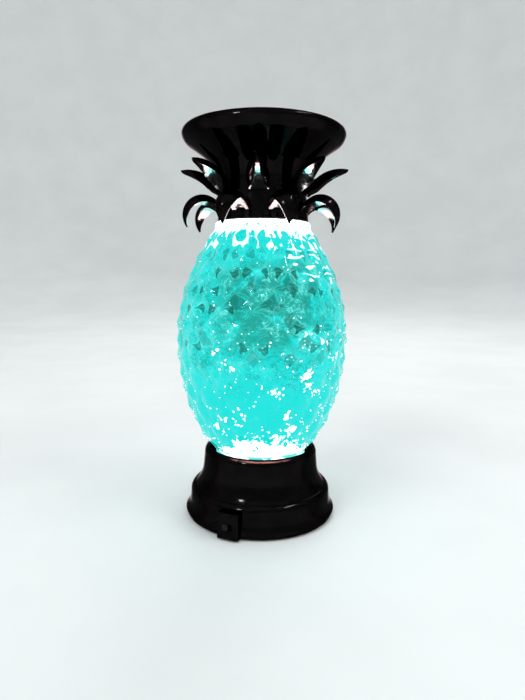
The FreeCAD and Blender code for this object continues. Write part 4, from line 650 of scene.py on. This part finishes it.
def glitter_piece():
    """Flat six-sided chips between the lit core and the liquid's surface, in clumps and scattered low."""
    chance = random.Random(7)
    vertices, faces = [], []

    def chip(angle, level, share, size):
        """A chip whose share of the way from the core to the liquid's surface is given."""
        inner = float(core_radius(level)) + CHIP_GAP
        outer = float(liquid_radius(level)) - CHIP_GAP
        radius = inner + (outer - inner) * share
        centre = Vector((radius * math.cos(angle), radius * math.sin(angle), level))
        turn = Matrix.Rotation(chance.uniform(0, math.tau), 3, "Z") @ \
            Matrix.Rotation(chance.uniform(*CHIP_TILT), 3, "X")
        start = len(vertices)
        count = CHIP_CORNERS
        for side in (-1, 1):
            for x, y, z in circle(1.0, side * CHIP_HALF_THICKNESS, count):
                reach = size * chance.uniform(*CHIP_UNEVEN) / 2
                vertices.append(tuple(centre + turn @ Vector((x * reach, y * reach, z))))
        faces.append(tuple(start + corner for corner in reversed(range(count))))
        faces.append(tuple(start + count + corner for corner in range(count)))
        for corner in range(count):
            after = (corner + 1) % count
            faces.append((start + corner, start + after, start + count + after, start + count + corner))

    for degrees, level, amount in CLUMPS:
        angle = math.radians(degrees - 90)
        for _ in range(amount):
            spot = chance.gauss(0, CLUMP_ANGLE)
            chip(angle + spot, level + chance.gauss(0, CLUMP_HEIGHT), chance.uniform(*CLUMP_SHARE),
                 chance.uniform(*CLUMP_CHIP))
    for _ in range(SCATTERED):
        angle = chance.uniform(0, math.tau)
        if chance.random() < DRIFTED:
            angle = chance.gauss(math.radians(DRIFT_SIDE - 90), DRIFT_ANGLE)
        level = LOW_FOOT + LOW_REACH * chance.random() ** LOW_POWER
        if chance.random() < HIGH:
            level = chance.uniform(*HIGH_LEVELS)
        chip(angle, level, chance.random(), chance.uniform(*SCATTERED_CHIP))
    piece = mesh_piece("glitter_cloud", vertices, faces, glitter_material(), sharp=30)
    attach(piece, "lamp")
    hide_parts("glitter_flakes")
    return piece


# Leaf tiers: the arc that each leaf follows, its width and its shape are as in the part. The spoon is
# how much deeper the leaf is here

COLLAR_TOP = 235.0
TIERS = {
    "upper": {"centre": (55.5, COLLAR_TOP - 5.4), "arc": (162, 79), "width": 15.5, "turn": -95.0,
              "shape": (0.3, 0.85, 0.6, 0.1, 1.4), "spoon": 3.4},
    "lower": {"centre": (44.4, COLLAR_TOP - 13.7), "arc": (166, -37), "width": 17.5, "turn": -72.5,
              "shape": (0.45, 0.72, 0.9, 0.08, 1.1), "spoon": 1.6}}
LEAF_PITCH = 45
SPOON_START, SPOON_FULL = 32.0, 38.0
TIP_SHARE, TIP_BLUNT, TIP_POWER = 0.80, 0.97, 0.9


def leaf_share(share, split, root_width, root_span, tip_width, tip_span):
    """Share of the full width along a leaf, as in the part."""
    root = root_width + (1 - root_width) * np.sin(math.pi * share / root_span)
    taper = np.clip(np.cos(math.pi * (share - split) / tip_span), 0, 1) ** TIP_POWER
    tip = tip_width + (1 - tip_width) * taper
    return np.where(share < split, root, tip)


def spoon_leaves(tier, material):
    """A tier's ring with its leaves' edges drawn further in, like spoons, and rounded at the tip."""
    leaf = TIERS[tier]
    mesh = NODES[tier + "_leaf_ring"].data.copy()
    mesh.name = tier + "_leaves"
    points = np.zeros(3 * len(mesh.vertices))
    mesh.vertices.foreach_get("co", points)
    points = points.reshape(-1, 3) / MM
    radius = np.hypot(points[:, 0], points[:, 1])
    turn = np.degrees(np.arctan2(points[:, 1], points[:, 0]))
    own = leaf["turn"] + LEAF_PITCH * np.round((turn - leaf["turn"]) / LEAF_PITCH)
    aside = np.radians(turn - own)
    own = np.radians(own)
    along, across = radius * np.cos(aside), radius * np.sin(aside)
    angle = np.arctan2(points[:, 2] - leaf["centre"][1], along - leaf["centre"][0])
    first, last = leaf["arc"]
    share = np.clip((first - np.degrees(angle)) / (first - last), 0, 1)
    half_width = leaf["width"] / 2 * leaf_share(share, *leaf["shape"])
    blunt = np.clip((share - TIP_SHARE) / (1 - TIP_SHARE), 0, 1)
    depth = leaf["spoon"] * smooth(radius, SPOON_START, SPOON_FULL) * np.sqrt(1 - TIP_BLUNT * blunt ** 4)
    depth *= np.clip(across / half_width, -1, 1) ** 2
    along = along - depth * np.cos(angle)
    points[:, 2] -= depth * np.sin(angle)
    points[:, 0] = along * np.cos(own) - across * np.sin(own)
    points[:, 1] = along * np.sin(own) + across * np.cos(own)
    mesh.vertices.foreach_set("co", (points * MM).ravel())
    mesh.update()
    mesh.materials.clear()
    mesh.materials.append(material)
    piece = bpy.data.objects.new(tier + "_leaves", mesh)
    bpy.context.scene.collection.objects.link(piece)
    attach(piece, "lamp")
    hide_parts(tier + "_leaf_ring")
    return piece


# Finishes of the nodes that keep their shape


def finishes():
    """The finish of each of the record's material slots that a node with its own shape has."""
    return {
        "plated_plastic": plated_material("dark_plating", (0.07, 0.13), 0.05),
        "black_plastic": surface("black_moulding", (0.008, 0.008, 0.009, 1), (0.005, 0.005, 0.006, 1),
                                 (0.38, 0.52), bump=0.08, Specular_IOR_Level=0.15),
        "inner_plastic": surface("inner_moulding", (0.68, 0.68, 0.66, 1), (0.60, 0.60, 0.58, 1),
                                 (0.4, 0.55)),
        "clear_plastic": surface("clear_moulding", (0.90, 0.95, 0.95, 1), (0.82, 0.90, 0.90, 1),
                                 (0.08, 0.16), Transmission_Weight=0.9, IOR=1.46),
        "diffuser": surface("frosted_disc", (0.86, 0.88, 0.88, 1), (0.80, 0.83, 0.83, 1), (0.5, 0.65),
                            Transmission_Weight=0.4),
        "rubber": surface("black_rubber", (0.030, 0.030, 0.030, 1), (0.016, 0.016, 0.016, 1),
                          (0.7, 0.9), bump=0.2),
        "steel": surface("screw_steel", (0.62, 0.62, 0.60, 1), (0.45, 0.45, 0.44, 1), (0.22, 0.36),
                         Metallic=1.0),
        "nickel": surface("contact_nickel", (0.78, 0.76, 0.70, 1), (0.62, 0.60, 0.55, 1), (0.2, 0.3),
                          Metallic=1.0),
        "magnet": surface("magnet_plate", (0.55, 0.56, 0.57, 1), (0.42, 0.43, 0.44, 1), (0.15, 0.25),
                          Metallic=1.0),
        "cell_jacket": surface("cell_sleeve", (0.05, 0.16, 0.30, 1), (0.04, 0.12, 0.24, 1), (0.25, 0.4)),
        "board": surface("circuit_board", (0.03, 0.16, 0.07, 1), (0.02, 0.11, 0.05, 1), (0.3, 0.5)),
        "led": surface("lamp_lens", (0.75, 0.95, 0.95, 1), (0.60, 0.88, 0.88, 1), (0.08, 0.18),
                       Emission_Color=(0.30, 0.95, 0.90, 1), Emission_Strength=1.0),
        "wire_red": surface("red_sleeving", (0.50, 0.02, 0.02, 1), (0.38, 0.015, 0.015, 1), (0.35, 0.5)),
        "wire_black": surface("black_sleeving", (0.02, 0.02, 0.02, 1), (0.012, 0.012, 0.012, 1),
                              (0.35, 0.5)),
    }


def dress_nodes(made):
    """Give every node the finish of its slot. The switch's body is black, as such switches are."""
    slots = {entry["node"]: entry["material_slot"] for entry in frame["record"]["subparts"]}
    special = {"switch_body": made["black_plastic"]}
    for name, item in NODES.items():
        finish = special.get(name) or made.get(slots.get(name))
        if finish is None:
            continue
        item.data.materials.clear()
        item.data.materials.append(finish)


# Studio

FLOOR_SIDES = 96
FLOOR_OUTLINE = [(400, 0), (1400, 0), (1900, 40), (2300, 180), (2650, 480), (2850, 950), (2950, 1700),
                 (2950, 2600)]
LIGHT_AIM = (0, 0, 0.14)
# Softboxes: name, place, size, power and whether gloss mirrors them
SOFTBOXES = [("key_softbox", (-0.9, -1.1, 1.3), (0.9, 0.9), 13.0, False),
             ("fill_softbox", (1.2, -0.6, 0.9), (0.8, 1.1), 8.0, False),
             ("back_softbox", (0.3, 1.4, 1.2), (1.2, 0.6), 9.0, True)]
GLINT_LAMPS = [("right_glint", (0.80, -0.10, 1.50), (0.60, 0.08), 14.0),
               ("left_glint", (-0.55, -0.75, 0.75), (0.12, 0.10), 4.0)]


def studio_floor():
    """A pale floor that rises all round in one smooth bowl."""
    material, tree = blank("pale_floor")
    shader = add(tree, "ShaderNodeBsdfPrincipled", {
        "Base Color": blend_colours(tree, spread(tree, speckle(tree, 6.0), 0.3, 0.7),
                                    (0.74, 0.75, 0.75, 1), (0.78, 0.79, 0.79, 1)),
        "Roughness": 0.75, "Specular IOR Level": 0.2})
    finish_with(tree, shader)
    count = FLOOR_SIDES
    vertices = [(0, 0, 0)]
    faces = []
    for radius, level in FLOOR_OUTLINE:
        vertices += circle(radius, level, count)
    for index in range(count):
        after = (index + 1) % count
        faces.append((0, 1 + index, 1 + after))
        for ring in range(len(FLOOR_OUTLINE) - 1):
            first = 1 + ring * count
            faces.append((first + index, first + count + index, first + count + after, first + after))
    floor = mesh_piece("studio_floor", vertices, faces, material)
    return floor


def softbox(name, place, size, power):
    """A soft lamp that faces the object."""
    light = bpy.data.lights.new(name, "AREA")
    light.shape = "RECTANGLE"
    light.size, light.size_y = size
    light.energy = power
    item = bpy.data.objects.new(name, light)
    bpy.context.scene.collection.objects.link(item)
    item.location = place
    aim = Vector(LIGHT_AIM) - Vector(place)
    item.rotation_euler = aim.to_track_quat("-Z", "Y").to_euler()
    return item


# Rings of lamps over the lit vessel: height, aim outward and upward, strength and colour of each
GLARE_ON_LEAVES = [
    (219.5, (0.25, 1), 0.110, (1.0, 0.95, 0.90)),
    (214.5, (1, 0.35), 0.150, (0.95, 1.0, 0.98)), (206.5, (1, 0.60), 0.110, (0.75, 1.0, 0.97)),
    (198.5, (1, 0.80), 0.110, (0.45, 1.0, 0.94)), (190.5, (1, 0.70), 0.110, (0.28, 1.0, 0.91)),
    (182.0, (1, 0.55), 0.110, (0.20, 1.0, 0.90)), (173.5, (1, 0.40), 0.110, (0.15, 1.0, 0.88)),
    (165.0, (1, 0.25), 0.110, (0.12, 1.0, 0.88)), (156.5, (1, 0.15), 0.110, (0.12, 1.0, 0.88))]
GLARE_ON_BASE = [(64.0, (-0.5, -1), 0.006, (1.0, 0.45, 0.38))]
LEAF_CONE, BASE_CONE = math.radians(180), math.radians(56)
GLARE_COUNT = 12
GLARE_GAP = 2.2
GLARE_HEIGHT = 0.0088
SHOULDER_RADIUS = SHOULDER[0][0]


def vessel_glare(name, rings, cone, lit_pieces):
    """The glare of the lit vessel, which shows only as highlights on the glossy pieces round it."""
    lit = bpy.data.collections.new(name)
    for item in lit_pieces:
        lit.objects.link(item)
    for number, (level, (out, up), power, colour) in enumerate(rings):
        radius = max(float(envelope(level)), SHOULDER_RADIUS) + GLARE_GAP
        for index in range(GLARE_COUNT):
            turn = math.tau * (index + 0.5) / GLARE_COUNT
            light = bpy.data.lights.new("%s_%d_%d" % (name, number, index), "AREA")
            light.shape = "RECTANGLE"
            light.size = math.tau * radius * MM / GLARE_COUNT
            light.size_y = GLARE_HEIGHT
            light.energy = power
            light.color = colour
            light.spread = cone
            item = bpy.data.objects.new(light.name, light)
            bpy.context.scene.collection.objects.link(item)
            item.location = Vector((radius * math.cos(turn), radius * math.sin(turn), level)) * MM
            aim = Vector((out * math.cos(turn), out * math.sin(turn), up))
            item.rotation_euler = aim.to_track_quat("-Z", "Y").to_euler()
            item.light_linking.receiver_collection = lit
            item.visible_camera = False
            item.visible_diffuse = False
            item.visible_transmission = False


def glint_lamp(name, place, size, power):
    """A far narrow lamp that only glossy surfaces mirror."""
    item = softbox(name, place, size, power)
    item.visible_diffuse = False
    item.visible_camera = False
    item.visible_transmission = False


def studio_light(leaves):
    """Plain soft light, a pale background, and the lamps that make highlights."""
    world = bpy.data.worlds.new("studio")
    bpy.context.scene.world = world
    world.use_nodes = True
    tree = world.node_tree
    tree.nodes.clear()
    path = add(tree, "ShaderNodeLightPath")
    seen = sums(tree, "MAXIMUM", path.outputs["Is Camera Ray"], path.outputs["Is Glossy Ray"])
    seen = sums(tree, "MAXIMUM", seen, path.outputs["Is Transmission Ray"])
    lit = add(tree, "ShaderNodeBackground", {"Color": (0.90, 0.94, 0.95, 1), "Strength": 0.85})
    shown = add(tree, "ShaderNodeBackground", {"Color": (0.78, 0.81, 0.81, 1), "Strength": 1.0})
    mixed = add(tree, "ShaderNodeMixShader", {"Fac": seen, 1: lit.outputs[0], 2: shown.outputs[0]})
    output = tree.nodes.new("ShaderNodeOutputWorld")
    tree.links.new(mixed.outputs[0], output.inputs["Surface"])
    for name, place, size, power, mirrored in SOFTBOXES:
        softbox(name, place, size, power).visible_glossy = mirrored
    for name, place, size, power in GLINT_LAMPS:
        glint_lamp(name, place, size, power)
    vessel_glare("leaf_glare", GLARE_ON_LEAVES, LEAF_CONE, leaves)
    vessel_glare("base_glare", GLARE_ON_BASE, BASE_CONE, (NODES["base_housing"],))


CAMERA_PLACE = (0.0007, -0.393, 0.1808)
CAMERA_PITCH, CAMERA_ROLL = math.radians(8.15), math.radians(0.65)
FOCAL_LENGTH = 27.05


def photograph_camera():
    """A phone's lens 0.39 m away, pitched down, and rolled a little as the photograph was."""
    camera = bpy.data.cameras.new("camera")
    camera.lens = FOCAL_LENGTH
    camera.sensor_width = 36.0
    camera.clip_start = 0.01
    item = bpy.data.objects.new("camera", camera)
    bpy.context.scene.collection.objects.link(item)
    turn = Matrix.Rotation(math.pi / 2 - CAMERA_PITCH, 4, "X") @ Matrix.Rotation(CAMERA_ROLL, 4, "Z")
    item.matrix_world = Matrix.Translation(CAMERA_PLACE) @ turn
    bpy.context.scene.camera = item


dress_nodes(finishes())
leaf_plating = plated_material("leaf_plating", (0.10, 0.20), 0.35)
leaf_rings = [spoon_leaves(tier, leaf_plating) for tier in TIERS]
vessel_piece()
liquid_pieces()
glitter_piece()
studio_floor()
studio_light(leaf_rings)
photograph_camera()
bpy.context.scene.view_settings.view_transform = "Standard"
